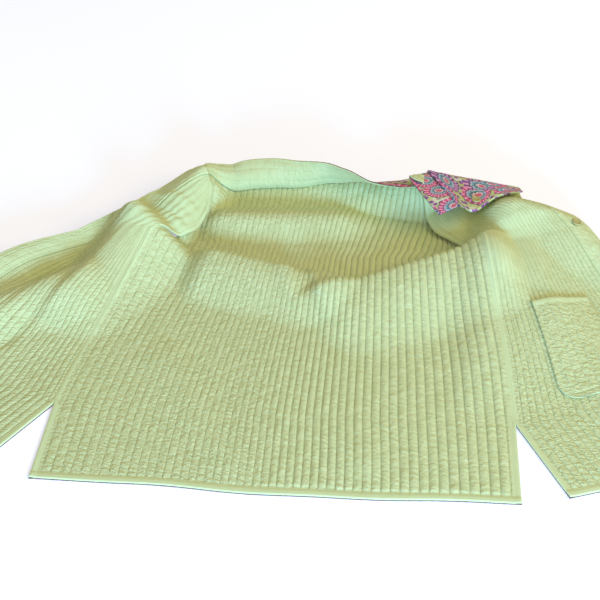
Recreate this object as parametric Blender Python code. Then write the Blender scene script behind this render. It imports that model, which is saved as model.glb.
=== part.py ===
"""Reversible quilted jacket, laid open on its back with the plain face up.

Metres, +Z up. The hem faces -Y and the collar +Y. The wearer's left front, which carries the
buttons, lies to +X, and the right front lies to -X. Each piece of cloth is a wall whose underside
follows the lie of the cloth and whose upper points carry the quilted channels.
"""

from collections import namedtuple

import bpy
import numpy as np
from mathutils import Vector

# Cloth
CLOTH_WALL = 0.0024
CHANNEL_RISE = 0.0014
SEAM_GAP = 0.0005
TURNED_EDGE = 0.012
BACK_CHANNELS = 54
FRONT_CHANNELS = 24
COLLAR_CHANNELS = 3
COLLAR_LAP = 0.002

# Trims
BAND_WIDTH = 0.030
BAND_WALL = 0.0032
POCKET_WALL = 0.0016
POCKET_CORNER = 0.030
BUTTON_RADIUS = 0.0062
BUTTON_THICKNESS = 0.0028
BUTTON_SIDES = 16
BUTTON_SHANK = 0.00095
POCKET_LENGTH = 0.150
VENT_LENGTH = 0.12

# Point of the layout, in plan, that the part's origin lies under
LAYOUT_CENTRE = (0.0, 0.286915)

Point = namedtuple("Point", "x y")
Fold = namedtuple("Fold", "name x0 y0 z0 x1 y1 z1 left right start end")
CollarOnBack = namedtuple("CollarOnBack", "name neck_share lean roll width")
CollarOnFront = namedtuple("CollarOnFront", "name x y z lean roll width")
CornerSection = namedtuple("CornerSection", "name fold_x fold_y edge_x edge_y edge_z")
SleeveSection = namedtuple("SleeveSection", "name x y half_width thickness")
ButtonRing = namedtuple("ButtonRing", "name radius height")

# Edges of the panels in plan, from the hem up. A stretch is a smooth curve through its points.
SIDE_SEAM = {
    "left": [Point(0.2785, 0.120), Point(0.272, 0.220), Point(0.259, 0.320), Point(0.245, 0.412)],
    "right": [Point(-0.2745, 0.118), Point(-0.256, 0.215), Point(-0.228, 0.315), Point(-0.198, 0.405)],
}
UNDERARM = {
    "left": [Point(0.245, 0.412), Point(0.224, 0.441)],
    "right": [Point(-0.198, 0.405), Point(-0.172, 0.424)],
}
BACK_VENT = {
    "left": [Point(0.280, 0.000), Point(0.2785, 0.120)],
    "right": [Point(-0.280, 0.000), Point(-0.2745, 0.118)],
}
BACK_ARMHOLE = {
    "left": [Point(0.224, 0.441), Point(0.209, 0.470), Point(0.193, 0.500), Point(0.174, 0.528)],
    "right": [Point(-0.172, 0.424), Point(-0.160, 0.455), Point(-0.156, 0.490), Point(-0.152, 0.530)],
}
FRONT_VENT = {
    "left": [Point(0.334, 0.013), Point(0.2785, 0.120)],
    "right": [Point(-0.341, 0.018), Point(-0.2745, 0.118)],
}
FRONT_ARMHOLE = {
    "left": [Point(0.224, 0.441), Point(0.202, 0.458), Point(0.183, 0.476), Point(0.165, 0.528)],
    "right": [Point(-0.172, 0.424), Point(-0.148, 0.446), Point(-0.134, 0.478), Point(-0.130, 0.514)],
}
FRONT_EDGE = {
    "left": [
        [Point(0.590, 0.100), Point(0.527, 0.208)],
        [Point(0.527, 0.208), Point(0.480, 0.290), Point(0.434, 0.370), Point(0.388, 0.450)],
        [Point(0.388, 0.450), Point(0.366, 0.476)],
        [Point(0.366, 0.476), Point(0.348, 0.490), Point(0.328, 0.500), Point(0.308, 0.506)],
    ],
    "right": [
        [Point(-0.590, 0.119), Point(-0.507, 0.220)],
        [Point(-0.507, 0.220), Point(-0.443, 0.297), Point(-0.378, 0.366), Point(-0.300, 0.413)],
        [Point(-0.300, 0.413), Point(-0.252, 0.456)],
        [Point(-0.252, 0.456), Point(-0.216, 0.490), Point(-0.182, 0.520), Point(-0.150, 0.545)],
    ],
}
NECK_RISE = 0.032

# Ridges of the cloth above the surface it lies on. Each runs from its first point to its second,
# fades over its left and right half-widths, and tapers out past its start and its end.
FOLDS = [
    Fold("left hill", 0.268, 0.350, 0.020, 0.288, 0.470, 0.042, 0.065, 0.170, 0.240, 0.070),
    Fold("left ridge of back", 0.075, 0.340, 0.020, 0.240, 0.412, 0.038, 0.030, 0.125, 0.090, 0.050),
    Fold("left front edge", 0.300, 0.515, 0.012, 0.420, 0.415, 0.028, 0.080, 0.070, 0.060, 0.260),
    Fold("over left sleeve", 0.330, 0.380, 0.006, 0.440, 0.165, 0.009, 0.110, 0.100, 0.080, 0.100),
    Fold("left neck", 0.050, 0.556, 0.010, 0.165, 0.538, 0.044, 0.060, 0.042, 0.070, 0.040),
    Fold("right hill", -0.218, 0.424, 0.056, -0.284, 0.312, 0.018, 0.100, 0.046, 0.042, 0.080),
    Fold("right front ridge", -0.288, 0.320, 0.017, -0.420, 0.255, 0.021, 0.070, 0.042, 0.050, 0.150),
    Fold("right front edge", -0.150, 0.548, 0.038, -0.400, 0.355, 0.032, 0.066, 0.080, 0.050, 0.240),
    Fold("over right sleeve", -0.330, 0.285, 0.007, -0.450, 0.188, 0.010, 0.110, 0.110, 0.080, 0.100),
    Fold("right roll", -0.172, 0.452, 0.020, -0.140, 0.520, 0.018, 0.048, 0.034, 0.030, 0.030),
    Fold("right crest of back", -0.112, 0.386, 0.025, 0.030, 0.354, 0.018, 0.034, 0.088, 0.044, 0.060),
    Fold("swell of back", -0.105, 0.470, 0.021, 0.040, 0.484, 0.016, 0.046, 0.042, 0.045, 0.070),
    Fold("neck of back", -0.110, 0.560, 0.008, 0.060, 0.560, 0.008, 0.050, 0.026, 0.050, 0.050),
]

# How far a front's armhole edge stands over the back, how far its roll rises behind that edge,
# and the share of the front's width that it rolls over
ARMHOLE_LIFT = 0.0080
ARMHOLE_ROLL = {"left": 0.018, "right": 0.008}
ARMHOLE_ROLL_SHARE = 0.35

# The collar's neck seam, the lean of the collar from lying back (0) over upright (90) to folded
# over (180) in degrees, how far its section bulges forward, and its width. A section with a
# neck share sits on the back's neck edge, at that share of it.
COLLAR_ON_BACK = [
    CollarOnBack("right end", 0.04, 12, 0.002, 0.020),
    CollarOnBack("right", 0.17, 46, 0.006, 0.038),
    CollarOnBack("right of back", 0.31, 62, 0.006, 0.040),
    CollarOnBack("back", 0.45, 84, 0.003, 0.040),
    CollarOnBack("left of back", 0.60, 108, 0.000, 0.040),
    CollarOnBack("left", 0.74, 138, 0.000, 0.038),
    CollarOnBack("twist", 0.88, 158, 0.000, 0.036),
]
COLLAR_ON_FRONT = [
    CollarOnFront("fold", 0.168, 0.5425, 0.0560, 168, 0.000, 0.034),
    CollarOnFront("past the fold", 0.180, 0.5234, 0.0570, 173, 0.000, 0.033),
    CollarOnFront("folded", 0.196, 0.4952, 0.0580, 180, 0.000, 0.032),
    CollarOnFront("left end", 0.212, 0.4670, 0.0585, 190, 0.000, 0.030),
]

# The left front's top corner is folded over, so that it lies with its other face up
CORNER_FOLD_RADIUS = 0.006
CORNER_SECTIONS = [
    CornerSection("collar", 0.1725, 0.5410, 0.2127, 0.4670, 0.0605),
    CornerSection("tip", 0.204, 0.531, 0.2330, 0.4550, 0.0610),
    CornerSection("middle", 0.250, 0.519, 0.2640, 0.4880, 0.0620),
    CornerSection("end", 0.296, 0.508, 0.2990, 0.5020, 0.0620),
]

SLEEVE_SECTIONS = {
    "left": [
        SleeveSection("armhole", 0.276, 0.466, 0.044, 0.034),
        SleeveSection("elbow", 0.358, 0.312, 0.060, 0.020),
        SleeveSection("cuff", 0.432, 0.158, 0.056, 0.010),
    ],
    "right": [
        SleeveSection("armhole", -0.212, 0.412, 0.036, 0.034),
        SleeveSection("elbow", -0.316, 0.275, 0.040, 0.018),
        SleeveSection("cuff", -0.450, 0.190, 0.052, 0.011),
    ],
}
CUFF_SLIT = (0.012, 0.0012)
# How far aside a sleeve allows for the fall of the front that lies on it
SLEEVE_STEP = {"left": 0.010, "right": 0.0065}

# Places on a front, as shares of its width from the side seam and rows up from the hem
POCKET_SIDES = (0.24, 0.64)
POCKET_ROWS = (1.06, 1.62)
BUTTON_ROWS = (0.80, 1.37, 2.25)
CORNER_BUTTON = (0.235, 0.477)

# Rings of a button's profile, as shares of its radius and its thickness
BUTTON_RINGS = [
    ButtonRing("seat", 0.82, 0.00),
    ButtonRing("girth", 1.00, 0.40),
    ButtonRing("shoulder", 0.94, 0.85),
    ButtonRing("rim", 0.80, 1.00),
    ButtonRing("dish", 0.68, 0.78),
]

COLOURS = {
    "plain cloth": (0.60, 0.68, 0.36),
    "printed cloth": (0.70, 0.30, 0.36),
    "button": (0.62, 0.55, 0.34),
}


def clear_scene():
    for thing in list(bpy.data.objects):
        bpy.data.objects.remove(thing)


def cloth_material(name, roughness):
    material = bpy.data.materials.get(name)
    if material is None:
        material = bpy.data.materials.new(name)
        material.use_nodes = True
        shader = material.node_tree.nodes["Principled BSDF"]
        shader.inputs["Base Color"].default_value = (*COLOURS[name], 1.0)
        shader.inputs["Roughness"].default_value = roughness
        shader.inputs["Metallic"].default_value = 0.0
    return material


def curve_at(points, share):
    """Points at a share, 0 to 1, of the smooth curve through evenly spaced points."""
    knots = np.asarray(points, float)
    spans = len(knots) - 1
    slopes = np.gradient(knots, axis=0)
    place = np.asarray(share, float) * spans
    span = np.clip(np.floor(place).astype(int), 0, spans - 1)
    f = (place - span)[..., None]
    a, b = knots[span], knots[span + 1]
    da, db = slopes[span], slopes[span + 1]
    return (
        a * (2 * f**3 - 3 * f**2 + 1)
        + da * (f**3 - 2 * f**2 + f)
        + b * (3 * f**2 - 2 * f**3)
        + db * (f**3 - f**2)
    )


def edge_at(stretches, row):
    """Plan points of a panel's edge: a vent, a side, an underarm and an armhole stretch, a row each."""
    row = np.asarray(row, float)
    found = np.zeros(row.shape + (2,))
    stretch_of = np.clip(np.floor(row).astype(int), 0, len(stretches) - 1)
    for index, stretch in enumerate(stretches):
        found = np.where((stretch_of == index)[..., None], curve_at(stretch, row - index), found)
    return found


def fold_height(fold, x, y):
    """Height of one ridge: (1 - s^2)^2 across it, with its ends tapered the same way."""
    ax, ay = fold.x1 - fold.x0, fold.y1 - fold.y0
    length = np.hypot(ax, ay)
    ax, ay = ax / length, ay / length
    along = (x - fold.x0) * ax + (y - fold.y0) * ay
    across = (y - fold.y0) * ax - (x - fold.x0) * ay
    past = np.where(along < 0, along / fold.start, np.maximum(along - length, 0) / fold.end)
    aside = across / np.where(across > 0, fold.left, fold.right)
    inside = np.clip(1 - past**2 - aside**2, 0, None)
    return (fold.z0 + (fold.z1 - fold.z0) * np.clip(along / length, 0, 1)) * inside**2


def lay_height(x, y):
    return sum(fold_height(fold, x, y) for fold in FOLDS)


def smooth_step(x):
    x = np.clip(x, 0, 1)
    return x * x * (3 - 2 * x)


def back_surface(share, row):
    """Underside of the back. Share runs from its right edge (0) to its left edge (1)."""
    right = edge_at([BACK_VENT["right"], SIDE_SEAM["right"], UNDERARM["right"], BACK_ARMHOLE["right"]], row)
    left = edge_at([BACK_VENT["left"], SIDE_SEAM["left"], UNDERARM["left"], BACK_ARMHOLE["left"]], row)
    plan = right + (left - right) * share[..., None]
    bow = NECK_RISE * np.clip((row - 2) / 2, 0, None) ** 2 * (1 - (2 * share - 1) ** 2)
    x, y = plan[..., 0], plan[..., 1] + bow
    return np.stack([x, y, lay_height(x, y)], -1)


def front_edges(side, row):
    inner = edge_at([FRONT_VENT[side], SIDE_SEAM[side], UNDERARM[side], FRONT_ARMHOLE[side]], row)
    return inner, edge_at(FRONT_EDGE[side], row)


def front_surface(side, share, row):
    """Underside of a front. Share runs from the side seam (0) to the front edge (1)."""
    inner, outer = front_edges(side, row)
    plan = inner + (outer - inner) * share[..., None]
    x, y = plan[..., 0], plan[..., 1]
    near_edge = np.clip(share / ARMHOLE_ROLL_SHARE, 0, 1)
    fading = 1 - smooth_step((share - ARMHOLE_ROLL_SHARE) / (1 - ARMHOLE_ROLL_SHARE))
    rolled = ARMHOLE_ROLL[side] * np.sqrt(1 - (1 - near_edge) ** 2) * smooth_step((row - 2.5) / 1.2)
    lift = (ARMHOLE_LIFT * smooth_step(row - 2.0) + rolled) * fading
    return np.stack([x, y, lay_height(x, y) + lift], -1)


def outward(surface, share, row, step=1e-4):
    """Unit normals of a surface by central differences."""
    across = surface(share + step, row) - surface(share - step, row)
    up = surface(share, row + step) - surface(share, row - step)
    normal = np.cross(across, up)
    normal *= np.sign(normal[..., 2:3] + 1e-12)
    return normal / np.linalg.norm(normal, axis=-1, keepdims=True)


def wall(name, upper, lower, material, flip=False):
    """A closed wall between two grids of points. The upper grid may have more columns."""
    rows, fine = upper.shape[:2]
    coarse = lower.shape[1]
    points = np.concatenate([upper.reshape(-1, 3), lower.reshape(-1, 3)])

    def top(row, column):
        return row * fine + column

    def under(row, column):
        return rows * fine + row * coarse + column

    faces = []
    for row in range(rows - 1):
        on = row + 1
        for column in range(fine - 1):
            after = column + 1
            faces.append((top(row, column), top(row, after), top(on, after), top(on, column)))
        for column in range(coarse - 1):
            after = column + 1
            faces.append((under(row, column), under(on, column), under(on, after), under(row, after)))
        faces.append((under(row, 0), top(row, 0), top(on, 0), under(on, 0)))
        end, fine_end = coarse - 1, fine - 1
        faces.append((under(row, end), under(on, end), top(on, fine_end), top(row, fine_end)))
    per = (fine - 1) // (coarse - 1)
    for column in range(coarse - 1):
        first = [top(0, column * per + k) for k in range(per, -1, -1)]
        faces.append((under(0, column), under(0, column + 1), *first))
        last = [top(rows - 1, column * per + k) for k in range(per + 1)]
        faces.append((under(rows - 1, column + 1), under(rows - 1, column), *last))
    if flip:
        faces = [face[::-1] for face in faces]
    mesh = bpy.data.meshes.new(name)
    mesh.from_pydata(points.tolist(), [], faces)
    mesh.update()
    return place(name, mesh, material)


def place(name, mesh, material):
    mesh.materials.append(material)
    thing = bpy.data.objects.new(name, mesh)
    bpy.context.scene.collection.objects.link(thing)
    thing.parent = bpy.data.objects["layout"]
    return thing


def quilt(share_grid, row_grid, channels, edge_rows):
    """Rise of the channels above the wall: full on each crest, none on stitching or turned edges."""
    crest = np.abs(np.sin(np.pi * channels * share_grid))
    first, last = edge_rows
    inside = (row_grid > first) & (row_grid < last)
    return CHANNEL_RISE * crest * inside


def panel_rows():
    """Rows of a panel: the turned hem, then even steps up the vent, the side and the armhole."""
    hem = [0.0, TURNED_EDGE / VENT_LENGTH, 1.5 * TURNED_EDGE / VENT_LENGTH]
    side = 1 + np.linspace(0, 1, 9) ** 0.7
    return np.array([*hem, 0.6, *side, 2.5, *np.linspace(3, 4, 6)])


def quilted_panel(name, surface, rows, channels, material, flip=False):
    """A panel whose upper points stand out in channels over a plain underside."""
    fine_share, row = np.meshgrid(np.linspace(0, 1, 2 * channels + 1), rows)
    rise = CLOTH_WALL + quilt(fine_share, row, channels, (rows[1], rows[-1]))
    upper = surface(fine_share, row) + outward(surface, fine_share, row) * rise[..., None]
    share, row = np.meshgrid(np.linspace(0, 1, 2 * channels // 3 + 1), rows)
    return wall(name, upper, surface(share, row), material, flip)


def faceted(surface, rows):
    """The surface as its panel has it, straight from one row of points to the next."""

    def straight(share, row):
        index = np.clip(np.searchsorted(rows, row, side="right") - 1, 0, len(rows) - 2)
        low, high = rows[index], rows[index + 1]
        f = ((row - low) / (high - low))[..., None]
        return surface(share, low) * (1 - f) + surface(share, high) * f

    return straight


def trimmed(surface, width, first_gap, last_gap):
    """The surface drawn in by a gap at its first and last share."""

    def drawn_in(share, row):
        span = width(row)
        return surface((first_gap + share * (span - first_gap - last_gap)) / span, row)

    return drawn_in


def back_width(row):
    right = edge_at([BACK_VENT["right"], SIDE_SEAM["right"], UNDERARM["right"], BACK_ARMHOLE["right"]], row)
    left = edge_at([BACK_VENT["left"], SIDE_SEAM["left"], UNDERARM["left"], BACK_ARMHOLE["left"]], row)
    return np.linalg.norm(left - right, axis=-1)


def front_width(side, row):
    inner, outer = front_edges(side, row)
    return np.linalg.norm(outer - inner, axis=-1)


def make_back(material):
    surface = trimmed(back_surface, back_width, SEAM_GAP / 2, SEAM_GAP / 2)
    return quilted_panel("back", surface, panel_rows(), BACK_CHANNELS, material)


def make_front(side, material):
    def width(row):
        return front_width(side, row)

    def whole(share, row):
        return front_surface(side, share, row)

    surface = trimmed(whole, width, SEAM_GAP / 2, BAND_WIDTH + SEAM_GAP / 2)
    rows = panel_rows()
    quilted_panel(f"front_{side}", surface, rows, FRONT_CHANNELS, material, flip=side == "right")

    def band(share, row):
        span = width(row)
        return whole(1 - (BAND_WIDTH - SEAM_GAP) * (1 - share) / span, row)

    share, row = np.meshgrid(np.linspace(0, 1, 3), rows)
    upper = band(share, row) + outward(band, share, row) * BAND_WALL
    wall(f"front_band_{side}", upper, band(share, row), material, flip=side == "right")


def make_pocket(material):
    """Patch on the left front, from the front's own points moved out, with round lower corners."""
    share = np.linspace(0, 1, 9)
    drop = np.array([0.0, 0.02, 0.25, 0.5, 0.7, 0.8, 0.87, 0.93, 0.97, 1.0])
    to_end = (1 - drop) * POCKET_LENGTH
    cut = POCKET_CORNER - np.sqrt(POCKET_CORNER**2 - np.clip(POCKET_CORNER - to_end, 0, None) ** 2)
    first, last = POCKET_SIDES
    middle, half = (first + last) / 2, (last - first) / 2
    top, bottom = POCKET_ROWS[1], POCKET_ROWS[0]
    row = (top + (bottom - top) * drop)[::-1, None] + 0 * share[None]
    width = front_width("left", row[:, 0])
    half_width = half - (cut[::-1] / width)
    shares = middle + (2 * share[None] - 1) * half_width[:, None]

    def whole(s, r):
        return front_surface("left", s, r)

    base = faceted(whole, panel_rows())(shares, row)
    normal = outward(whole, shares, row)
    seat = CLOTH_WALL + CHANNEL_RISE + SEAM_GAP
    return wall("pocket", base + normal * (seat + POCKET_WALL), base + normal * seat, material)


def collar_seat(x, y, lean):
    """Height of the collar's neck seam above the underside of the back, so that its wall clears it."""
    step = 1e-4
    slope_x = (lay_height(x + step, y) - lay_height(x - step, y)) / (2 * step)
    slope_y = (lay_height(x, y + step) - lay_height(x, y - step)) / (2 * step)
    under = np.clip(-np.cos(np.radians(lean)), 0, None) * (CLOTH_WALL + CHANNEL_RISE)
    return (CLOTH_WALL + SEAM_GAP) * np.sqrt(1 + slope_x**2 + slope_y**2) + SEAM_GAP + under


def collar_section(share):
    """Rows of x, y, z, lean, roll and width along the neck seam, by curve through the sections."""
    on_back = []
    for section in COLLAR_ON_BACK:
        x, y, z = back_surface(np.array(section.neck_share), np.array(4.0))
        z += collar_seat(x, y, section.lean)
        on_back.append((x, y, z, section.lean, section.roll, section.width))
    table = np.array(on_back + [section[1:] for section in COLLAR_ON_FRONT])
    found = curve_at(table, share)
    x, y, z, lean = (found[..., k] for k in range(4))
    leaving = smooth_step(share * (len(table) - 1) - len(on_back) + 2)
    seated = lay_height(x, y) + collar_seat(x, y, lean)
    found[..., 2] = seated + (z - seated) * leaving
    found[..., 1] = y - COLLAR_LAP * (1 - leaving)
    return found


def collar_surface(across, along):
    """Under face of the collar. Across runs from the neck seam (0) to the free edge (1)."""
    section = collar_section(along)
    step = 1e-3
    heading = collar_section(along + step)[..., :2] - collar_section(along - step)[..., :2]
    heading /= np.linalg.norm(heading, axis=-1, keepdims=True)
    back = np.stack([-heading[..., 1], heading[..., 0], 0 * across], -1)
    upright = np.array([0.0, 0.0, 1.0])
    lean = np.radians(section[..., 3])[..., None]
    reach = back * np.cos(lean) + upright * np.sin(lean)
    bulge = upright * np.cos(lean) - back * np.sin(lean)
    rolled = (section[..., 4] * np.sin(np.pi * across))[..., None]
    return section[..., :3] + reach * (section[..., 5] * across)[..., None] + bulge * rolled


def collar_normal(across, along, step=1e-3):
    over = collar_surface(across + step, along) - collar_surface(across - step, along)
    on = collar_surface(across, along + step) - collar_surface(across, along - step)
    normal = np.cross(on, over)
    return normal / np.linalg.norm(normal, axis=-1, keepdims=True)


def make_collar(material):
    along = np.linspace(0, 1, 29)
    across, run = np.meshgrid(np.linspace(0, 1, 2 * COLLAR_CHANNELS + 1), along)
    rise = CLOTH_WALL + 0.7 * CHANNEL_RISE * np.abs(np.sin(np.pi * COLLAR_CHANNELS * across))
    upper = collar_surface(across, run) + collar_normal(across, run) * rise[..., None]
    across, run = np.meshgrid(np.linspace(0, 1, COLLAR_CHANNELS + 1), along)
    return wall("collar", upper, collar_surface(across, run), material, flip=True)


def make_turned_corner(material):
    """The left front's folded-over corner: a half-round fold, then a flap towards the hem."""
    table = np.array([section[1:] for section in CORNER_SECTIONS])
    along = np.linspace(0, 1, 13)
    fold_x, fold_y, edge_x, edge_y, edge_z = curve_at(table, along).T
    turn = np.linspace(-90, 90, 6)
    run = np.linspace(0, 1, 6)[1:]
    reach = np.stack([edge_x - fold_x, edge_y - fold_y], -1)
    outer = []
    inner = []
    for radius, points in ((CORNER_FOLD_RADIUS, outer), (CORNER_FOLD_RADIUS - CLOTH_WALL, inner)):
        heading = reach / np.linalg.norm(reach, axis=-1, keepdims=True)
        centre_z = edge_z - CORNER_FOLD_RADIUS
        for angle in np.radians(turn):
            plan = np.stack([fold_x, fold_y], -1) - heading * (radius * np.cos(angle))
            points.append(np.column_stack([plan, centre_z + radius * np.sin(angle)]))
        for share in run:
            plan = np.stack([fold_x, fold_y], -1) + reach * share
            points.append(np.column_stack([plan, centre_z + radius + 0 * share]))
    upper, lower = np.array(outer), np.array(inner)
    return wall("front_corner_left", upper, lower, material, flip=True)


def make_sleeve(side, material):
    """A sleeve folded flat under its front, with the two layers parted at the cuff."""
    table = np.array([section[1:] for section in SLEEVE_SECTIONS[side]])
    across, run = np.meshgrid(np.linspace(-1, 1, 13), np.linspace(0, 1, 13))
    section = curve_at(table, run)
    ahead = curve_at(table, run + 1e-3)[..., :2] - curve_at(table, run - 1e-3)[..., :2]
    ahead /= np.linalg.norm(ahead, axis=-1, keepdims=True)
    x = section[..., 0] - ahead[..., 1] * across * section[..., 2]
    y = section[..., 1] + ahead[..., 0] * across * section[..., 2]
    edge = 2 * CLOTH_WALL
    full = edge + (section[..., 3] - edge) * np.clip(1 - across**4, 0, 1)
    asides = (-SLEEVE_STEP[side], 0, SLEEVE_STEP[side])
    steps = [(dx, dy) for dx in asides for dy in asides]
    room = np.min([lay_height(x + dx, y + dy) for dx, dy in steps], axis=0)
    height = np.clip(np.minimum(full, room - SEAM_GAP), CLOTH_WALL / 2, None)
    upper = np.stack([x, y, height], -1)
    lower = np.stack([x, y, 0 * x], -1)
    sleeve = wall(f"sleeve_{side}", upper, lower, material, flip=True)
    cut_cuff(sleeve, table[-1], ahead[-1, 0])


def cut_cuff(sleeve, cuff, heading):
    depth, height = CUFF_SLIT
    x, y, half_width, thickness = cuff
    bpy.ops.mesh.primitive_cube_add(size=1)
    cutter = bpy.context.object
    cutter.name = f"{sleeve.name}_slit"
    cutter.parent = bpy.data.objects["layout"]
    cutter.scale = (2 * half_width - 8 * CLOTH_WALL, 2 * depth, height)
    cutter.location = (x, y, CLOTH_WALL + height / 2)
    cutter.rotation_euler.z = np.arctan2(heading[1], heading[0]) + np.pi / 2
    cutter.hide_render = True
    cutter.display_type = "WIRE"
    cut = sleeve.modifiers.new("cuff slit", "BOOLEAN")
    cut.operation = "DIFFERENCE"
    cut.object = cutter


def button_mesh():
    """A turned button: a flat seat, a round rim and a dished face."""
    profile = [(ring.radius * BUTTON_RADIUS, ring.height * BUTTON_THICKNESS) for ring in BUTTON_RINGS]
    angles = np.linspace(0, 2 * np.pi, BUTTON_SIDES, endpoint=False)
    points = [(r * np.cos(a), r * np.sin(a), z) for r, z in profile for a in angles]
    faces = []
    for ring in range(len(profile) - 1):
        for k in range(BUTTON_SIDES):
            after = (k + 1) % BUTTON_SIDES
            a, b = ring * BUTTON_SIDES, (ring + 1) * BUTTON_SIDES
            faces.append((a + k, a + after, b + after, b + k))
    faces.append(tuple(range(BUTTON_SIDES))[::-1])
    faces.append(tuple(range((len(profile) - 1) * BUTTON_SIDES, len(profile) * BUTTON_SIDES)))
    mesh = bpy.data.meshes.new("button")
    mesh.from_pydata(points, [], faces)
    mesh.update()
    return mesh


def seat_button(name, mesh, point, normal):
    button = bpy.data.objects.new(name, mesh)
    bpy.context.scene.collection.objects.link(button)
    button.parent = bpy.data.objects["layout"]
    button.location = Vector(point) + Vector(normal) * BUTTON_SHANK
    button.rotation_mode = "QUATERNION"
    button.rotation_quaternion = Vector(normal).to_track_quat("Z", "Y")
    return button


def make_buttons(material):
    mesh = button_mesh()
    mesh.materials.append(material)

    def whole(share, row):
        return front_surface("left", share, row)

    straight = faceted(whole, panel_rows())
    for number, row in enumerate(BUTTON_ROWS, 2):
        share = np.array(1 - BAND_WIDTH / 2 / front_width("left", np.array(row)))
        normal = outward(straight, share, np.array(row))
        point = straight(share, np.array(row)) + normal * BAND_WALL
        seat_button(f"button_{number}", mesh, point, normal)
    x, y = CORNER_BUTTON
    top = CORNER_SECTIONS[1].edge_z
    seat_button("button_1", mesh, (x, y, top), (0, 0, 1))


def main():
    clear_scene()
    layout = bpy.data.objects.new("layout", None)
    bpy.context.scene.collection.objects.link(layout)
    layout.location = (-LAYOUT_CENTRE[0], -LAYOUT_CENTRE[1], 0)
    plain = cloth_material("plain cloth", 0.85)
    printed = cloth_material("printed cloth", 0.85)
    make_back(plain)
    for side in ("left", "right"):
        make_front(side, plain)
        make_sleeve(side, printed)
    make_collar(plain)
    make_turned_corner(printed)
    make_pocket(plain)
    make_buttons(cloth_material("button", 0.4))


main()
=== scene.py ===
"""Looks of a reversible quilted jacket, laid open on its back with the plain face up.

Metres, +Z up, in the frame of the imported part. Each panel is a thin closed sheet on the form of its
solid: a fine upper grid with channels, puckers and turned edges over a plain printed underside.
Left and right are the wearer's. A row counts the stretches of a panel's edge from the hem up, and a
share goes from 0 to 1 across the panel.
"""

from collections import namedtuple

import bpy
import numpy as np
from mathutils import Matrix


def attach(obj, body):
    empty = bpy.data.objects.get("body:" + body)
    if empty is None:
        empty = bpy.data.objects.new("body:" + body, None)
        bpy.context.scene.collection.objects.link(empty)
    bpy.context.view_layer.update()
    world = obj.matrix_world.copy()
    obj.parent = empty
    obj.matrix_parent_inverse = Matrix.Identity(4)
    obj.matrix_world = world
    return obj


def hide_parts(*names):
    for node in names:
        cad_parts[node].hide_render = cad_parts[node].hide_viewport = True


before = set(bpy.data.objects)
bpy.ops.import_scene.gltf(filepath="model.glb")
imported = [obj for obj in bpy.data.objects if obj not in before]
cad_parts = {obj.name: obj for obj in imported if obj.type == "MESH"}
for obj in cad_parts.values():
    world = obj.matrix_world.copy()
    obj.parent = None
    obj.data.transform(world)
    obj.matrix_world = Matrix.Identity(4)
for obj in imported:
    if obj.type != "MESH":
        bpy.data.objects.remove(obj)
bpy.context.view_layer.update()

# Rows where a panel's stretches meet, and how finely they are sampled
VENT_TOP = 1.0
SIDE_TOP = 2.0
NECK_ROW = 4.0
ROW_SAMPLES = 801
BACK_GRID_ROWS = 321
FRONT_GRID_ROWS = 301
CHANNEL_COLUMNS = np.array([0.0, 0.15, 0.38, 0.62, 0.85])
NEAR_EDGE = np.array([0.0003, 0.000675, 0.0012])
UNDER_ROWS = 5
UNDER_COLUMNS = 6

# Cloth
CLOTH_WALL = 0.0024
CHANNEL_RISE = 0.0014
CHANNEL_WIDTH = 0.0104
BACK_CHANNELS = 54
FRONT_CHANNELS = 24
COLLAR_CHANNELS = 3
POCKET_CHANNELS = 8
SEAM_GAP = 0.0005
SEAM_LINE = 0.0001
SEAM_STRIP = 0.0028
HEM_WIDTH = 0.010
VENT_TURN = 0.007
VENT_LENGTH = 0.118
TURNED_RISE = 0.0010
TURNED_PRESS = 0.0005
BORDER_RADIUS = 0.0016
TRIM_BORDER_RADIUS = 0.0012
CORNER_BORDER_RADIUS = 0.001

# Quilting: puckers beside the stitches, gathers where the channels are squeezed
PUCKER_RISE = 0.0004
PUCKER_PITCH = 0.0062
PAD_LENGTH = 0.031
PATCH_LENGTH = 0.05
GATHER_RISE = 0.0007
GATHERS = 5.5
GATHER_SWAY = 0.35
GATHER_WIDTH = 0.03
FULL_SPREAD = 0.0085

# How the back's channels lie
CHANNEL_LEAN = 0.30
CHANNEL_BUNCH = (0.12, 0.20)
BUNCH_PLACE = 0.45
FAN_CENTRE = 0.03
FAN_SPREAD = 1.4
ARMHOLE_BEND = 0.07
BEND_FROM = 1.9
STRAIGHT_SHARE = 0.82

# How far the hem strays from straight
HEM_HALF = 0.28
HEM_BOW = 0.0065
HEM_BOW_PLACE = 0.04
HEM_BOW_REACH = 0.15
HEM_WAVE = 0.0012
HEM_WAVE_LENGTH = 0.028

# Trims
BAND_WIDTH = 0.030
BAND_WALL = 0.0032
BAND_STITCH = 0.004
POCKET_WALL = 0.0016
POCKET_CORNER = 0.030
POCKET_LENGTH = 0.150
POCKET_WIDTH = 0.100
POCKET_LOW_WIDTH = 0.080
POCKET_STITCH = 0.0085
POCKET_HEM = 0.009

# Buttons: the profile has shares of radius and thickness, from the middle of the face round the rim
BUTTON_RADIUS = 0.0062
BUTTON_THICKNESS = 0.0028
BUTTON_SHANK = 0.00095
BUTTON_POINTS = 48
BUTTON_PROFILE = [
    (0.00, 0.76),
    (0.35, 0.77),
    (0.62, 0.80),
    (0.70, 0.92),
    (0.80, 1.00),
    (0.93, 0.90),
    (1.00, 0.45),
    (0.97, 0.20),
    (0.82, 0.00),
]
HOLE_PLACE = 0.0014
HOLE_RADIUS = 0.00055
HOLE_DEPTH = 0.0011
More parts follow.
